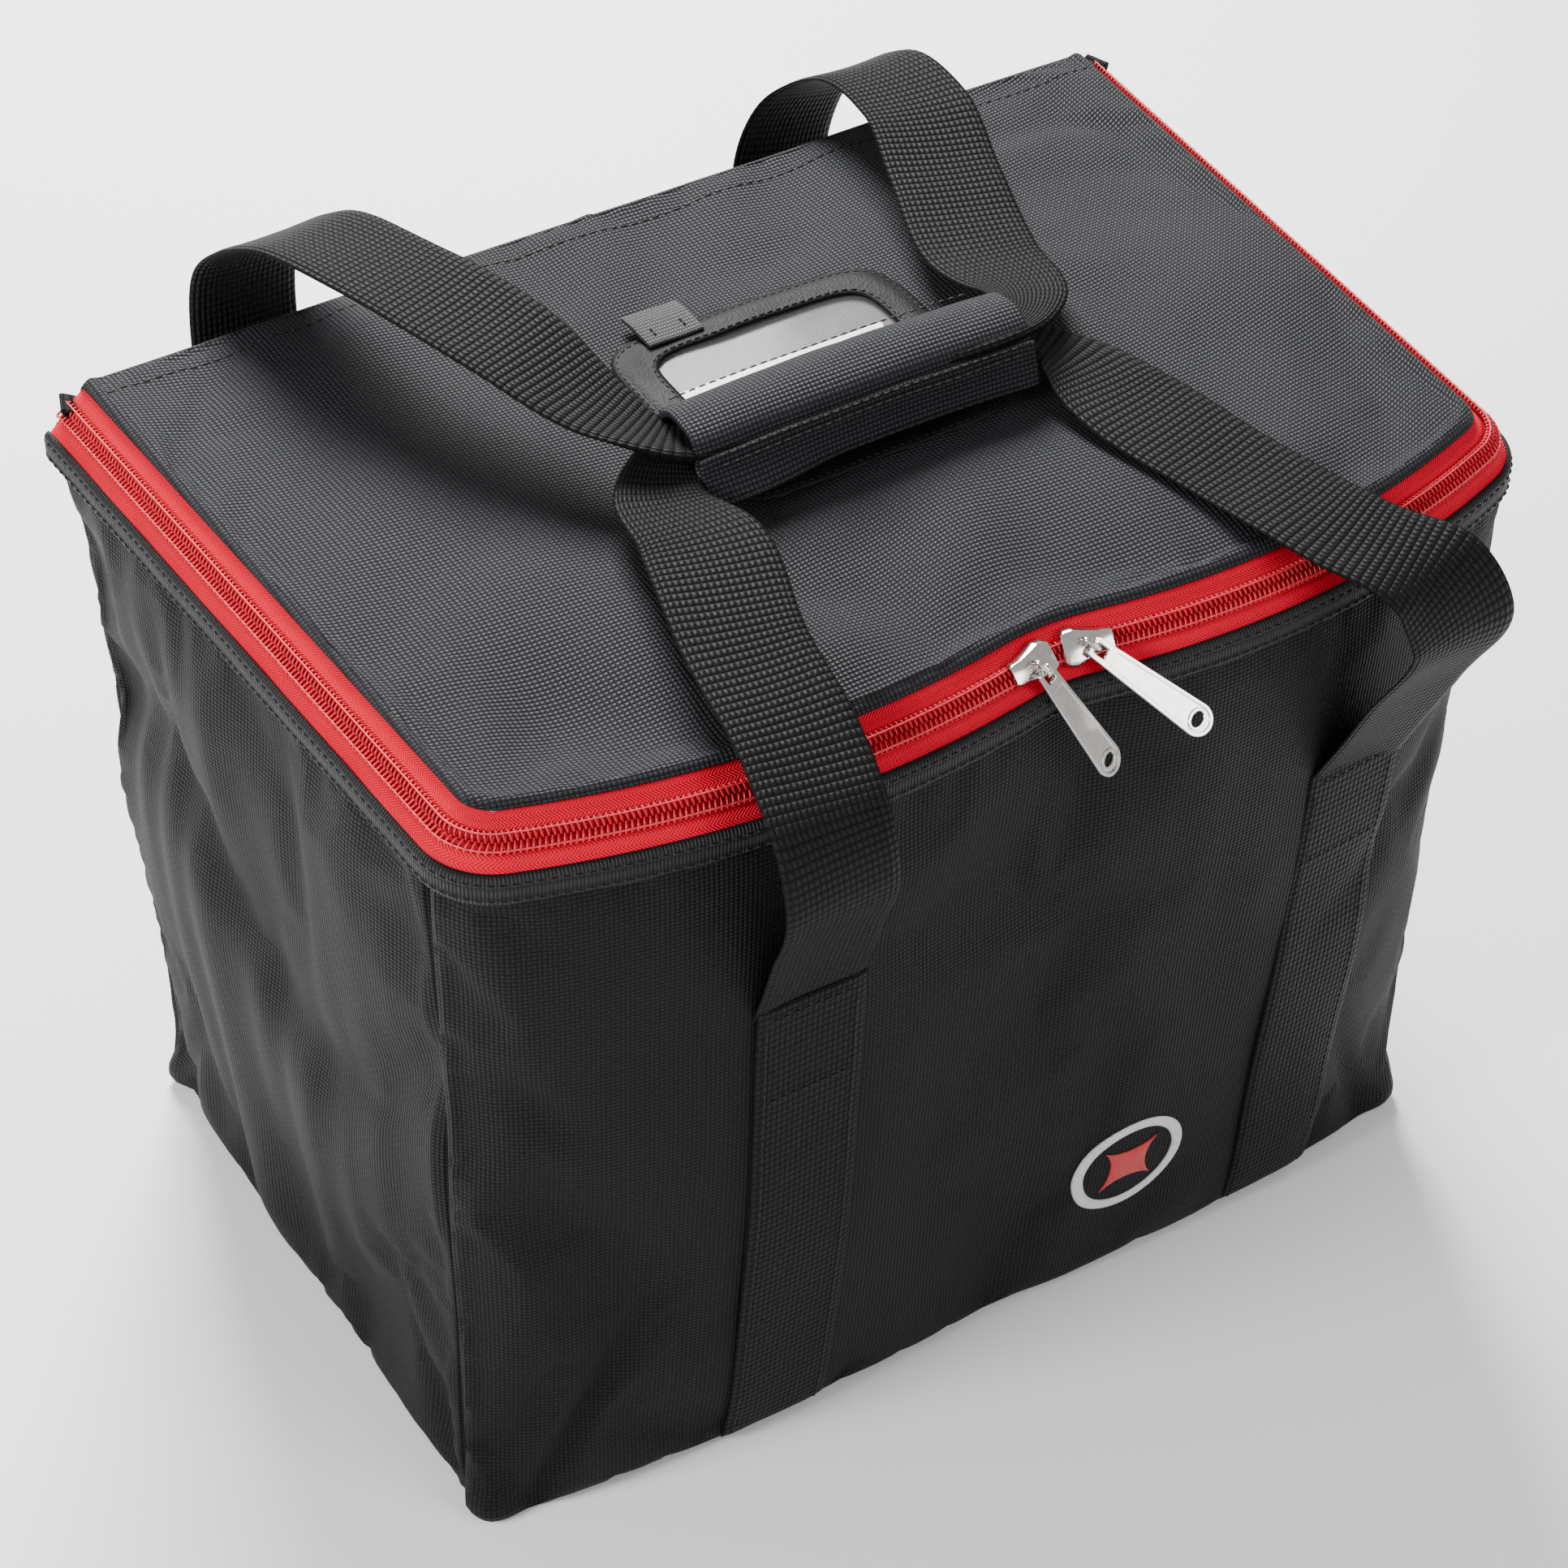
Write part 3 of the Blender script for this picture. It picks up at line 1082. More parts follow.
# %% The two handles
grip_low, grip_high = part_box("grip_wrap")
grip_left, grip_right = grip_low.x / MM, grip_high.x / MM
grip_y = (grip_low.y + grip_high.y) / 2 / MM
grip_z, lid_mm, back_mm = grip_low.z / MM, lid_top / MM, back_y / MM
legs_y = -142.0
start_z = run_top / MM + 1.0
full, half_folded, bundle = 38.0, 28.5, 19.0        # widths of the webbing, flat and folded
fl, fr = (x / MM for x in front_legs)
rl, rr = (x / MM for x in rear_legs)
front_stops = [
    (fl, legs_y + 3.6, start_z - 9, 0, full), (fl - 4, legs_y - 15, lid_mm - 59, 0, full),
    (fl - 7, legs_y - 26, lid_mm - 29, 0, full), (fl - 8, legs_y - 21, lid_mm - 8, 0, full),
    (fl - 5, legs_y, lid_mm + 5, 0, full), (fl - 1, legs_y + 38, lid_mm + 14, -8, full),
    (fl + 9, grip_y - 42, lid_mm + 19, -16, full),
    (grip_left - 15, grip_y - 16, lid_mm + 16, -48, half_folded),
    (grip_left - 4, grip_y, grip_z + 7, -90, bundle),
    ((grip_left + grip_right) / 2, grip_y, grip_z + 7, -90, bundle),
    (grip_right + 4, grip_y, grip_z + 7, -90, bundle),
    (grip_right + 14, grip_y - 14, lid_mm + 10, -130, half_folded),
    (fr - 40, grip_y - 38, lid_mm + 8, -162, full),
    (fr - 30, legs_y + 44, lid_mm + 6, -168, full),
    (fr - 18, legs_y + 2, lid_mm + 5, -172, full),
    (fr - 2, legs_y - 24, lid_mm - 3, -178, full),
    (fr + 6, legs_y - 30, lid_mm - 21, -180, full),
    (fr + 4, legs_y - 16, lid_mm - 57, -180, full), (fr, legs_y + 3.6, start_z - 9, -180, full)]
rear_stops = [
    (rl, back_mm + 2.4, start_z - 9, -180, full), (rl, back_mm + 20, lid_mm - 61, -180, full),
    (rl, back_mm + 31, lid_mm - 29, -180, full), (rl + 1, back_mm + 27, lid_mm + 5, -180, full),
    (rl + 6, back_mm - 2, lid_mm + 31, -176, full),
    (rl + 16, back_mm - 44, lid_mm + 39, -168, full),
    (rl + 32, grip_y + 52, lid_mm + 36, -160, full),
    (grip_left - 15, grip_y + 16, lid_mm + 26, -132, half_folded),
    (grip_left - 4, grip_y, grip_z + 13.5, -90, bundle),
    ((grip_left + grip_right) / 2, grip_y, grip_z + 13.5, -90, bundle),
    (grip_right + 4, grip_y, grip_z + 13.5, -90, bundle),
    (grip_right + 14, grip_y + 13, lid_mm + 18, -45, half_folded),
    (rr - 3, grip_y + 46, lid_mm + 12, -12, full), (rr + 8, grip_y + 82, lid_mm + 15, -6, full),
    (rr + 18, back_mm - 24, lid_mm + 21, 0, full), (rr + 18, back_mm + 6, lid_mm + 18, 0, full),
    (rr + 8, back_mm + 25, lid_mm + 1, 0, full), (rr + 1, back_mm + 31, lid_mm - 29, 0, full),
    (rr, back_mm + 20, lid_mm - 61, 0, full), (rr, back_mm + 2.4, start_z - 9, 0, full)]
for name, stops, body, seed, lean in (
        ("front_handle_webbing", front_stops, "front_handle", 61, 60),
        ("rear_handle_webbing", rear_stops, "rear_handle", 71, -60)):
    strap = ribbon(name, stops, seed)
    y = stops[0][1]
    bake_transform(strap)
    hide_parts(name.replace("webbing", "strap"))

# %% [markdown]
# ## The grip
# The grip is a padded sheet wrapped round both webbings. Its upper part is a roll; a flap
# hangs down the near side and closes with hook-and-loop tape. One end of it stands away.
# Each part is a section in the Y-Z plane carried along X, bowed a little as it would be by
# its own weight.

# %% Section carried along the grip
grip_mid = (grip_left + grip_right) / 2
grip_span = grip_right - grip_left


def carried(name, section, seed, material, thickness, spread=None, reach=1.0, columns=61):
    """Sweeps a section of (y, z) in millimetres along the grip; returns the piece and its grid."""
    section = np.asarray(section, float)
    share = np.linspace(0, 1, columns)
    x = grip_mid + (share - 0.5) * grip_span * reach
    points = np.zeros((columns, len(section), 3))
    bow = 1.4 * np.sin(pi * share) - 0.7
    puff = ripple(np.outer(share * 6, np.ones(len(section))),
                  np.outer(np.ones(columns), run_length(section) / 9), seed)
    centre = section.mean(axis=0)
    out_way = (section - centre) / np.linalg.norm(section - centre, axis=1)[:, None]
    end = 1 - 0.06 * np.exp(-np.minimum(share, 1 - share) / 0.03)
    moved = centre + (section - centre)[None] * end[:, None, None]
    moved = moved + out_way[None] * (0.45 * puff)[..., None]
    if spread is not None:
        down = np.linspace(0, 1, len(section)) ** 1.6
        moved = moved + spread(share)[:, None, :] * down[None, :, None]
    points[..., 0] = x[:, None] + 0.5 * puff
    points[..., 1] = grip_y + moved[..., 0]
    points[..., 2] = grip_z + moved[..., 1] + bow[:, None]
    uv = np.stack(np.meshgrid(x, run_length(section), indexing="ij"), axis=-1)
    piece = grid_piece(name, points * MM, uv * MM, material, thickness * MM, offset=1.0)
    return piece, points * MM


def soften(piece, width):
    """Rounds a padded piece's sharp edges."""
    bevel = piece.modifiers.new("soft_edge", "BEVEL")
    bevel.width, bevel.segments, bevel.limit_method = width, 3, "ANGLE"


wrap_section = ([(12.2, 0.6), (12.6, 4), (12.9, 8)]
                + [(12.6 * cos(a), 12.2 + 8.6 * sin(a) ** 0.9) for a in np.linspace(0, pi, 22)]
                + [(-12.9, 10.2)])
wrap, wrap_points = carried("grip_roll", wrap_section, 81, lid_cloth, 2.6)
soften(wrap, 0.8 * MM)
place(wrap, "rear_handle", "grip_wrap", slot="ballistic_cloth", fill=0.7)

flap_section = [(-14.0, 14.4), (-14.6, 12.4), (-15.0, 9.8), (-15.3, 7), (-15.6, 4.4),
                (-16.0, 2), (-16.6, -0.2)]


def gape(share):
    """How far the flap's free edge hangs away, most near its left end."""
    near_left = 5.5 * np.exp(-((share - 0.12) / 0.22) ** 2)
    near_right = 1.5 * np.exp(-((share - 1) / 0.1) ** 2)
    out = near_left + 1.0 + near_right
    return np.stack([-out, 0.35 * out - 0.5], axis=1)


flap, flap_points = carried("grip_flap_cloth", flap_section, 83, lid_cloth, 2.2, spread=gape)
soften(flap, 0.7 * MM)
place(flap, "grip_flap", "grip_flap", slot="ballistic_cloth", fill=0.6)
print(f"grip from {wrap_points[..., 2].min():.4f} to {wrap_points[..., 2].max():.4f} m")

# %% Hook and loop tape, and the grip's seams
hook_section = [(y + 0.9, z) for y, z in flap_section[1:]]
hook, _ = carried("hook_tape", hook_section, 83, hook_pile, 0.7, spread=gape, reach=0.95)
place(hook, "grip_flap", "grip_hook_strip", slot="hook_tape")
loop_section = [(15.4, 1.0), (15.7, 4), (15.9, 7), (15.8, 10), (15.5, 13)]
loop, _ = carried("loop_tape", loop_section, 85, loop_pile, 0.8, reach=0.95)
place(loop, "rear_handle", "grip_loop_strip", slot="loop_tape")
for label, source, column, body, push in (
        ("roll_seam_near", wrap_points, -3, "rear_handle", (0, -2.7, 0.6)),
        ("roll_seam_far", wrap_points, 5, "rear_handle", (0, 2.5, 0.9)),
        ("flap_seam_top", flap_points, 1, "grip_flap", (0, -2.3, 0)),
        ("flap_seam_low", flap_points, -2, "grip_flap", (0, -2.3, 0))):
    line = source[2:-2, column] + np.array(push) * MM
    stitches(label, line, np.array(push) / np.linalg.norm(push), body, slot="ballistic_cloth")
print("grip tapes and seams sewn")

# %% [markdown]
# ## The window pocket
# A leatherette frame is sewn to the lid round a clear window, with a woven tab at its open
# edge and a card inside. The frame is soft and wavers, and its outer edge is sewn down to the
# lid; the card and window are stiffer and lie flatter, so its inner edge looks uneven.

# %% Pocket frame
card_low, card_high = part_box("name_card")
pane_low, pane_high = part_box("window_pane")
frame_band = 12 * MM


def rounded_box(half_x, half_y, corner=7.0, columns=200):
    """A rectangle with rounded corners; the larger the corner's power, the squarer it is."""
    turn = np.linspace(0, 2 * pi, columns)
    c, s = np.cos(turn), np.sin(turn)
    reach = 1 / (np.abs(c / half_x) ** corner + np.abs(s / half_y) ** corner) ** (1 / corner)
    return np.stack([c * reach, s * reach], axis=1)


ring_share = np.linspace(0, 1, 9)
inner_edge = rounded_box(pocket_half[0] - frame_band, pocket_half[1] - frame_band)
outer_edge = rounded_box(*pocket_half)
ring_plan = (inner_edge[:, None] * (1 - ring_share)[None, :, None]
             + outer_edge[:, None] * ring_share[None, :, None] + np.array(pocket_mid))
wavy = ripple(ring_plan[..., 0] / 0.022, ring_plan[..., 1] / 0.022, 92)
ring_plan = ring_plan + 0.8 * MM * wavy[..., None]
drop_out = smooth((ring_share - 0.55) / 0.45)[None]
uneven = ripple(ring_plan[..., 0] / 0.030, ring_plan[..., 1] / 0.030, 91)
over_window = pane_high.z + 0.15 * MM + 0.5 * MM * (1 + uneven)
sewn_down = lid_top + 0.3 * MM + 0.5 * MM * (1 + wavy)
frame_height = over_window * (1 - drop_out) + sewn_down * drop_out
frame_points = raised(ring_plan, frame_height)[::-1]
frame_piece = grid_piece("pocket_frame", frame_points, flat_map(frame_points, 0, 1),
                         leatherette, 0.9 * MM, offset=1.0)
place(frame_piece, "lid", "window_frame", slot="frame_leatherette")
for label, row in (("frame_seam_inner", 1), ("frame_seam_outer", 7)):
    line = frame_points[:, row] + np.array((0, 0, 1.0)) * MM
    stitches(label, line, (0, 0, 1), "lid", step=3.0, length=2.1, radius=0.26,
             slot="frame_leatherette")
print("pocket frame", ring_plan.shape[:2])

# %% Window, card and tab
px = np.linspace(pane_low.x + 1 * MM, pane_high.x - 1 * MM, 40)
py = np.linspace(pane_low.y + 1 * MM, pane_high.y - 1 * MM, 34)
x, y = np.meshgrid(px, py, indexing="ij")
z = pane_low.z + 0.1 * MM + 0.35 * MM * (1 + ripple(x / 0.028, y / 0.04, 93)) * 0.5
pane = grid_piece("clear_window", np.stack([x, y, z], axis=-1), None, clear_vinyl, 0.3 * MM)
place(pane, "lid", "window_pane", slot="clear_vinyl")
cx = np.linspace(card_low.x, card_high.x, 24)
cy = np.linspace(card_low.y, card_high.y, 16)
x, y = np.meshgrid(cx, cy, indexing="ij")
card_points = np.stack([x, y, 0 * x + card_high.z], axis=-1)
card_piece = grid_piece("card_sheet", card_points, None, card_stock, 0.35 * MM)
place(card_piece, "name_card", "name_card", slot="card")
for label, material, x0, x1, y0, y1 in (
        ("card_band", card_ink, 0.62, 0.92, 0.66, 0.84),
        ("card_line_a", card_grey, 0.08, 0.52, 0.70, 0.76),
        ("card_line_b", card_grey, 0.08, 0.92, 0.42, 0.45),
        ("card_line_c", card_grey, 0.08, 0.92, 0.24, 0.27)):
    bx = card_low.x + np.linspace(x0, x1, 8) * (card_high.x - card_low.x)
    by = card_low.y + np.linspace(y0, y1, 3) * (card_high.y - card_low.y)
    x, y = np.meshgrid(bx, by, indexing="ij")
    mark = grid_piece(label, np.stack([x, y, 0 * x + card_high.z + 0.06 * MM], axis=-1), None,
                      material, 0.05 * MM)
    place(mark, "name_card", slot="card")
tab_low, tab_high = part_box("window_pull_tab")
tx, ty = np.meshgrid(np.linspace(tab_low.x, tab_high.x, 14),
                     np.linspace(tab_low.y, tab_high.y + 2 * MM, 16), indexing="ij")
sewn_end = smooth((ty - tab_high.y + 5 * MM) / (7 * MM))
tz = (tab_high.z + 0.4 * MM + 0.5 * MM * ripple(tx / 0.012, ty / 0.02, 94)
      - 0.8 * MM * sewn_end)
tab_points = np.stack([tx, ty, tz], axis=-1)
tab = grid_piece("pocket_tab", tab_points, flat_map(tab_points, 0, 1), grey_ribs, 1.0 * MM)
place(tab, "lid", "window_pull_tab", slot="grey_webbing")
for column, label in ((3, "a"), (10, "b")):
    stitches(f"tab_cross_stitch_{label}", tab_points[column, 2:8] + np.array((0, 0, 0.25 * MM)),
             (0, 0, 1), "lid", step=2.4, length=1.8, slot="grey_webbing")
print("window", pane.name, "card", card_piece.name, "tab", tab.name)

# %% [markdown]
# ## Topstitching on the lid
# A row of stitches holds the fold at the back of the lid. It wanders with the cloth, so its
# path is read from the finished lid grid.

# %% Lid topstitch
middle_column = lid_points[60, :LID_ROWS, 1]
back_row = int(np.argmin(np.abs(middle_column - (back_y - 11 * MM))))
stitches("lid_topstitch", lid_points[8:-8, back_row], (0, 0, 1), "lid", step=4.0, length=3.0,
         radius=0.36, slot="ballistic_cloth")
print("topstitch row", back_row)

# %% [markdown]
# ## Sliders and pulls
# A slider is two plates round the coils with a bail over the outer one. The outer plate is
# wide at its mouth and folds down at the sides to guide the coils. The pull is stamped sheet
# with a raised rim, a small window for its cross bar and an eye at its wide end.

# %% Frames for the metal parts
slider_offset = 10.4 * MM
pivot_height = 6.9 * MM
poses = {"left": dict(side=-1, swivel=-66, droop=20, shift=-2.4 * MM),
         "right": dict(side=1, swivel=-45, droop=7, shift=-1.0 * MM)}


def band_frame(side):
    """Axes on the band at a slider: along the zip, up the lean and out of it."""
    centre, radius = front_arcs(rim)[0 if side < 0 else 1]
    first = atan2(rim["peak"][1] - centre[1], rim["peak"][0] - centre[0])
    angle = first + side * slider_offset / radius
    origin = Vector((centre[0] + radius * cos(angle), centre[1] + radius * sin(angle), rim_z))
    out = Vector((cos(angle), sin(angle), 1)).normalized()
    along_zip = Vector((-sin(angle), cos(angle), 0))
    return origin, along_zip, out.cross(along_zip), out


def set_in(piece, origin, x_way, y_way, z_way):
    """Moves a mesh made at the origin onto three axes."""
    turn = Matrix((x_way, y_way, z_way)).transposed().to_4x4()
    piece.data.transform(Matrix.Translation(origin) @ turn)
    piece.data.update()
    return piece


for hand, pose in poses.items():
    print(hand, "slider at", [round(c, 4) for c in band_frame(pose["side"])[0]])


# %% Stamped sheet with holes
def stamped(name, outline, holes, z, thickness, edge, material):
    """A flat plate with holes and rounded edges, between z and z + thickness."""
    curve = bpy.data.curves.new(name, "CURVE")
    curve.dimensions = "2D"
    curve.fill_mode = "BOTH"
    curve.extrude = thickness / 2 - edge
    curve.bevel_depth, curve.bevel_resolution, curve.offset = edge, 3, -edge
    for loop in [outline, *holes]:
        spline = curve.splines.new("POLY")
        spline.points.add(len(loop) - 1)
        for point, (x, y) in zip(spline.points, loop):
            point.co = (x, y, 0, 1)
        spline.use_cyclic_u = True
    maker = bpy.data.objects.new(name + "_maker", curve)
    bpy.context.scene.collection.objects.link(maker)
    bpy.context.view_layer.update()
    mesh = bpy.data.meshes.new_from_object(maker.evaluated_get(
        bpy.context.evaluated_depsgraph_get()))
    bpy.data.objects.remove(maker)
    mesh.transform(Matrix.Translation((0, 0, z + thickness / 2)))
    mesh.materials.clear()
    mesh.materials.append(material)
    piece = bpy.data.objects.new(name, mesh)
    bpy.context.scene.collection.objects.link(piece)
    return piece


def oval(mid_x, half_x, half_y, n=28):
    """Points round an ellipse."""
    return [(mid_x + half_x * cos(2 * pi * k / n), half_y * sin(2 * pi * k / n))
            for k in range(n)]


# %% Sliders
def plate_half(x):
    """Half width of a slider's plate from its tail, at -1, to its mouth, at 1."""
    return np.interp(x, [-1, -0.85, -0.45, 0.1, 0.5, 0.85, 1],
                     [3.4, 4.0, 4.2, 5.3, 6.2, 5.9, 4.9]) * MM


plate_half_long, plate_top, plate_thick = 8 * MM, 3.9 * MM, 1.0 * MM
bail_half_long, bail_wire_r = 2.9 * MM, 0.85 * MM
share, across = np.meshgrid(np.linspace(-1, 1, 33), np.linspace(-1, 1, 17), indexing="ij")
dome = 0.9 * MM * (1 - across ** 2) * (1 - 0.7 * share ** 2)
flange = 2.3 * MM * smooth((np.abs(across) - 0.80) / 0.20)
for hand, pose in poses.items():
    axes = band_frame(pose["side"])
    toward = -pose["side"]
    x = share * plate_half_long * toward
    y = plate_half(share) * across
    z = plate_top + dome - flange
    grid = np.stack([x, y, z], axis=-1)
    if toward < 0:
        grid = grid[::-1]
    plate = grid_piece(f"slider_{hand}_body", grid, None, nickel, plate_thick)
    rounding = plate.modifiers.new("rounding", "BEVEL")
    rounding.width, rounding.segments = 0.25 * MM, 2
    smoothing = plate.modifiers.new("smoothing", "SUBSURF")
    smoothing.levels = smoothing.render_levels = 1
    set_in(plate, *axes)
    place(plate, f"slider_{hand}", f"slider_{hand}", slot="nickel")
    wedge = stamped(f"slider_{hand}_inner", [(toward * a * MM, b * MM) for a, b in (
        (-6, 0.6), (6, 0.6), (7, 3.5), (4.5, 5.8), (-4, 4.6), (-6.5, 2.5))][::toward], [],
        -2.6 * MM, 1.1 * MM, 0.25 * MM, nickel)
    place(set_in(wedge, *axes), f"slider_{hand}", slot="nickel")
    angle = np.linspace(0, pi, 25)
    squarish = np.sign(np.cos(angle)) * np.abs(np.cos(angle)) ** 0.55
    bail_x = -0.65 * MM + bail_half_long * squarish
    bail_z = plate_top + (pivot_height + 2.0 * MM - plate_top) * np.sin(angle) ** 0.55
    path = np.stack([bail_x, 0 * angle, bail_z], axis=1)
    points, faces = tube(path, bail_wire_r, 12, np.array((0.0, 1.0, 0.0)) + 0 * path)
    bail = add_piece(f"slider_{hand}_bail", points, faces, None, nickel)
    turned = radians(pose["swivel"])
    origin, a, b, c = axes
    set_in(bail, origin + b * pose["shift"], a * cos(turned) + b * sin(turned),
           b * cos(turned) - a * sin(turned), c)
    place(bail, f"slider_{hand}", slot="nickel")
print("sliders placed")

# %% Pulls
for hand, pose in poses.items():
    origin, a, b, c = band_frame(pose["side"])
    pivot = origin + b * pose["shift"] + c * pivot_height
    turned, dip = radians(pose["swivel"]), radians(pose["droop"])
    lengthways = (a * cos(turned) + b * sin(turned)) * cos(dip) - c * sin(dip)
    sideways = b * cos(turned) - a * sin(turned)
    face_out = lengthways.cross(sideways)
    length, half_wide, neck = 45.0, 5.25, 3.3
    end_x = length - half_wide
    rounded_end = [(end_x + half_wide * sin(t), half_wide * cos(t))
                   for t in np.linspace(0, pi, 25)]
    outline = [(0.4, neck), (-0.2, neck - 0.5), (-0.5, neck - 1.2), (-0.5, 1.2 - neck),
               (-0.2, 0.5 - neck), (0.4, -neck)] + [(x, -y) for x, y in rounded_end]
    outline = [(x * MM, y * MM) for x, y in outline][::-1]
    stirrup = [(x * MM, y * MM) for x, y in ((0.9, -1.9), (4.9, -1.7), (4.9, 1.7), (0.9, 1.9))]
    eye = oval(end_x * MM, 1.7 * MM, 2.6 * MM)
    base_plate = stamped(f"pull_{hand}_plate", outline, [stirrup, eye], -0.55 * MM, 1.1 * MM,
                         0.28 * MM, nickel)
    inner = [(8.0 * MM, -2.3 * MM), (8.0 * MM, 2.3 * MM)] + [
        ((end_x + (half_wide - 1.3) * sin(t)) * MM, (half_wide - 1.3) * cos(t) * MM)
        for t in np.linspace(0, pi, 25)]
    rim_piece = stamped(f"pull_{hand}_rim", outline, [stirrup, inner], 0.30 * MM, 0.60 * MM,
                        0.22 * MM, nickel)
    collar = stamped(f"pull_{hand}_collar", oval(end_x * MM, 2.9 * MM, 3.7 * MM, 32), [eye],
                     0.30 * MM, 0.60 * MM, 0.22 * MM, nickel)
    for piece in (base_plate, rim_piece, collar):
        set_in(piece, pivot, lengthways, sideways, face_out)
        place(piece, f"pull_{hand}", slot="nickel")
    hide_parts(f"pull_{hand}")
print("pulls placed")

# %% [markdown]
# ## Small trim
# Folded tabs of webbing finish the zip's two ends at the back corners. The badge low on the
# front is satin stitch: threads packed side by side, standing a little above the cloth. It is
# a plain ring with a four-pointed star.

# %% End tabs
for hand, side in (("left", -1), ("right", 1)):
    share = np.linspace(0, 1, 26)
    reach = -2 + 13 * np.sin(pi * share) ** 0.8
    rise = 4.2 * np.cos(pi * share) * (0.35 + 0.65 * np.abs(2 * share - 1))
    rows = np.linspace(-8, 8, 9)
    lean = np.array((side * 0.75, 0.35, 0.55))
    lean /= np.linalg.norm(lean)
    wide_way = np.array((0.35 * side, -0.94, 0.0))
    wide_way /= np.linalg.norm(wide_way)
    lift_way = np.cross(wide_way, lean)
    root = np.array((side * (rim["back_half"] - 5 * MM), back_y - 4 * MM, wall_top + 5 * MM))
    points = root + MM * (0.75 * reach[:, None, None] * lean
                          + 0.5 * rise[:, None, None] * lift_way
                          + 0.55 * rows[None, :, None] * wide_way)
    uv = np.stack(np.broadcast_arrays(rows[None] * MM, run_length(points[:, 4])[:, None]),
                  axis=-1)
    tab_piece = grid_piece(f"end_tab_{hand}", points, uv, strap_weave, 1.0 * MM, offset=0.0)
    place(tab_piece, "bag", f"zipper_end_tab_{hand}", slot="webbing")
print("end tabs at both back corners")

# %% Embroidered badge
badge_low, badge_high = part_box("emblem")
badge_x, badge_z = (badge_low.x + badge_high.x) / 2, (badge_low.z + badge_high.z) / 2
badge_r = (badge_high.x - badge_low.x) / 2


def on_front(angle, radii, stands):
    """Points round the badge's middle, standing off the front wall."""
    x, z = badge_x + np.cos(angle) * radii, badge_z + np.sin(angle) * radii
    y = np.concatenate([wall_depth("front_panel", x[:, k:k + 1], z[:, k:k + 1])
                        for k in range(x.shape[1])], axis=1)
    return np.stack([x, y - stands, z], axis=-1)


def satin(material):
    """Satin stitch: fine parallel threads across the cloth map."""
    tree = material.node_tree
    shader = tree.nodes["Principled BSDF"]
    _, u, v = cloth_map(tree, 0.55 * MM, 4.0 * MM)
    turns = maths(tree, "ADD", u, maths(tree, "MULTIPLY", v, 0.3))
    wave = maths(tree, "SINE", maths(tree, "MULTIPLY", turns, 2 * pi))
    relief(tree, shader, maths(tree, "MULTIPLY_ADD", wave, 0.5, 0.5), 0.35 * MM)


for material in (white_thread, red_thread):
    satin(material)
angle = np.linspace(0, 2 * pi, 121)[:, None]
band_share = np.linspace(0, 1, 9)
ring_r = badge_r * (0.80 + 0.20 * band_share)
stand = 0.25 * MM + 0.75 * MM * np.sqrt(np.clip(1 - (2 * band_share - 1) ** 2, 0, 1))
points = on_front(angle, ring_r, stand)
uv = np.stack(np.broadcast_arrays(angle * badge_r, ring_r), axis=-1)
badge_ring = grid_piece("badge_ring", points[:, ::-1], uv[:, ::-1], white_thread, 0.5 * MM)
place(badge_ring, "bag", "emblem", slot="embroidery")
STAR_POWER = 0.62                   # below 1 the four sides curve in and the tips are sharp
star_share = np.linspace(0, 1, 12)
star_sides = (np.abs(np.cos(angle + pi / 4)) ** STAR_POWER
              + np.abs(np.sin(angle + pi / 4)) ** STAR_POWER)
star_r = badge_r * 0.70 / star_sides ** (1 / STAR_POWER)
stand = 0.25 * MM + 0.8 * MM * np.sqrt(1 - star_share ** 2)
points = on_front(angle, star_r * star_share, stand)
badge_star = grid_piece("badge_star", points[:, ::-1], flat_map(points, 0, 2)[:, ::-1],
                        red_thread, 0.4 * MM)
place(badge_star, "bag", slot="embroidery")
print("badge", badge_ring.name, badge_star.name)

# %% [markdown]
# ## Light and camera
# The bag is nearly black, so its shape is read from soft highlights. A large pale surround
# fills the shadows. One broad lamp above and behind rakes across the weave of the lid, a
# second lights the left side, and a weak third lifts the front.

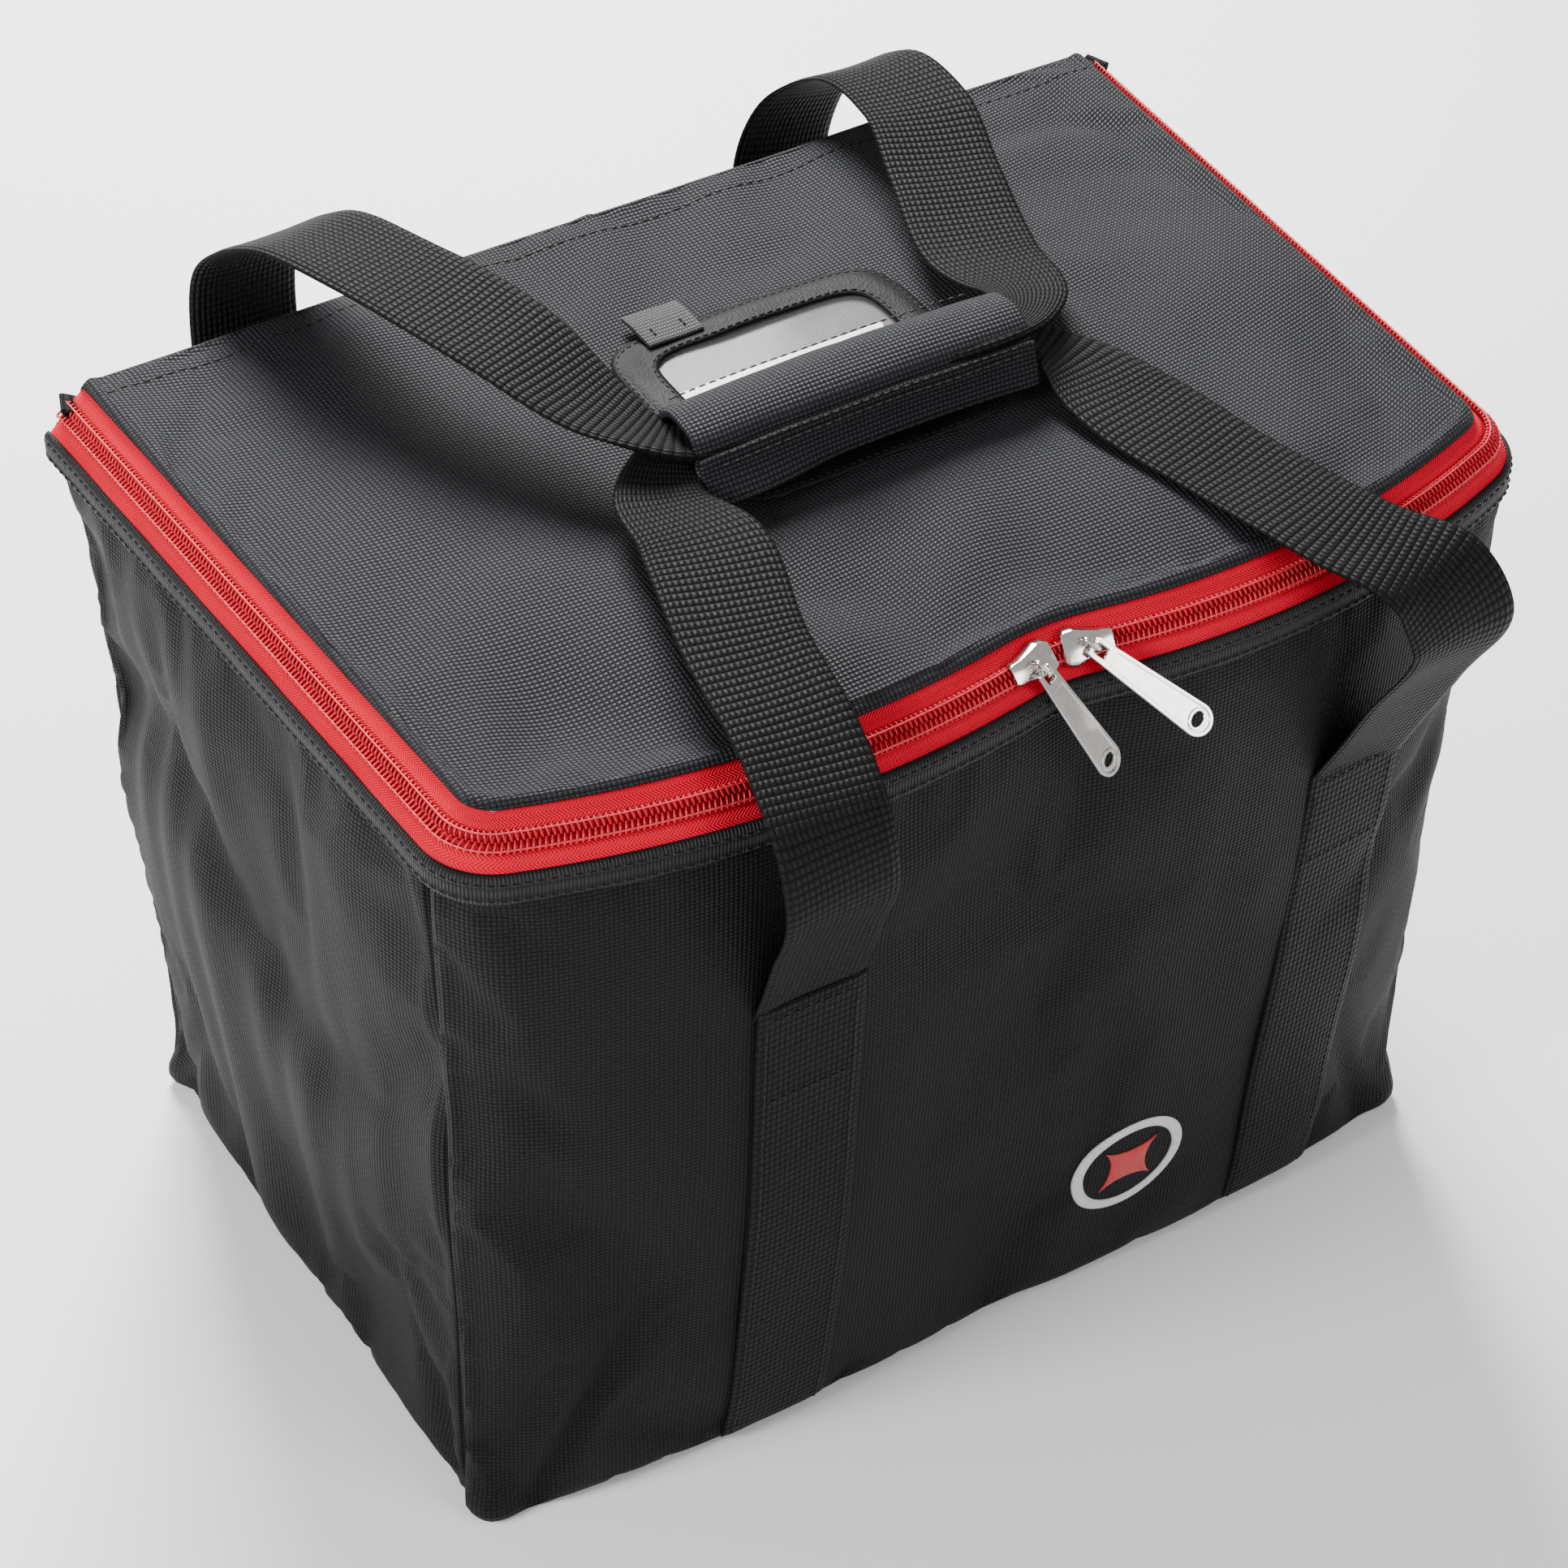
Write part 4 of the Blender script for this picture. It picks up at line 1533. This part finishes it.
# %% Floor and surround
floor_material, _, floor_shader = finish("floor_pale", roughness=0.8, specular=0.2)
floor_shader.inputs["Base Color"].default_value = (0.86, 0.86, 0.86, 1)
floor_grid = np.stack(np.meshgrid([-6.0, 6.0], [-6.0, 6.0], indexing="ij") + [np.zeros((2, 2))],
                      axis=-1)
floor = grid_piece("floor", floor_grid, None, floor_material)
world = bpy.data.worlds.new("surround")
bpy.context.scene.world = world
world.use_nodes = True
background = world.node_tree.nodes["Background"]
background.inputs["Color"].default_value = (1, 1, 1, 1)
background.inputs["Strength"].default_value = 0.55


def lamp(name, place_at, aim, size, power):
    """A square area lamp."""
    light = bpy.data.lights.new(name, "AREA")
    light.shape, light.size, light.energy = "SQUARE", size, power
    holder = bpy.data.objects.new(name, light)
    bpy.context.scene.collection.objects.link(holder)
    holder.location = place_at
    holder.rotation_mode = "QUATERNION"
    holder.rotation_quaternion = (Vector(aim) - Vector(place_at)).to_track_quat("-Z", "Y")


lamp("key_behind", (0.35, 1.15, 1.35), (0, 0, 0.25), 0.7, 95)
lamp("key_left", (-1.5, -0.1, 1.0), (0, 0, 0.15), 0.6, 34)
lamp("fill_front", (0.6, -1.7, 1.1), (0, 0, 0.15), 1.0, 18)
print("three lamps")

# %% Camera
camera_data = bpy.data.cameras.new("camera")
camera_data.lens, camera_data.sensor_width = 93.17, 36
camera = bpy.data.objects.new("camera", camera_data)
bpy.context.scene.collection.objects.link(camera)
seen_from, raised_by, rolled = radians(-122.7805), radians(42.4308), radians(1.5219)
back_way = Vector((cos(raised_by) * cos(seen_from), cos(raised_by) * sin(seen_from),
                   sin(raised_by)))
level_way = Vector((-sin(seen_from), cos(seen_from), 0))
steep_way = back_way.cross(level_way)
right_way = level_way * cos(rolled) + steep_way * sin(rolled)
up_way = steep_way * cos(rolled) - level_way * sin(rolled)
camera.matrix_world = (Matrix.Translation((-0.5492, -0.8469, 1.0727))
                       @ Matrix((right_way, up_way, back_way)).transposed().to_4x4())
camera_data.clip_start, camera_data.clip_end = 0.05, 30
bpy.context.scene.camera = camera
print("camera", tuple(round(c, 3) for c in camera.location))
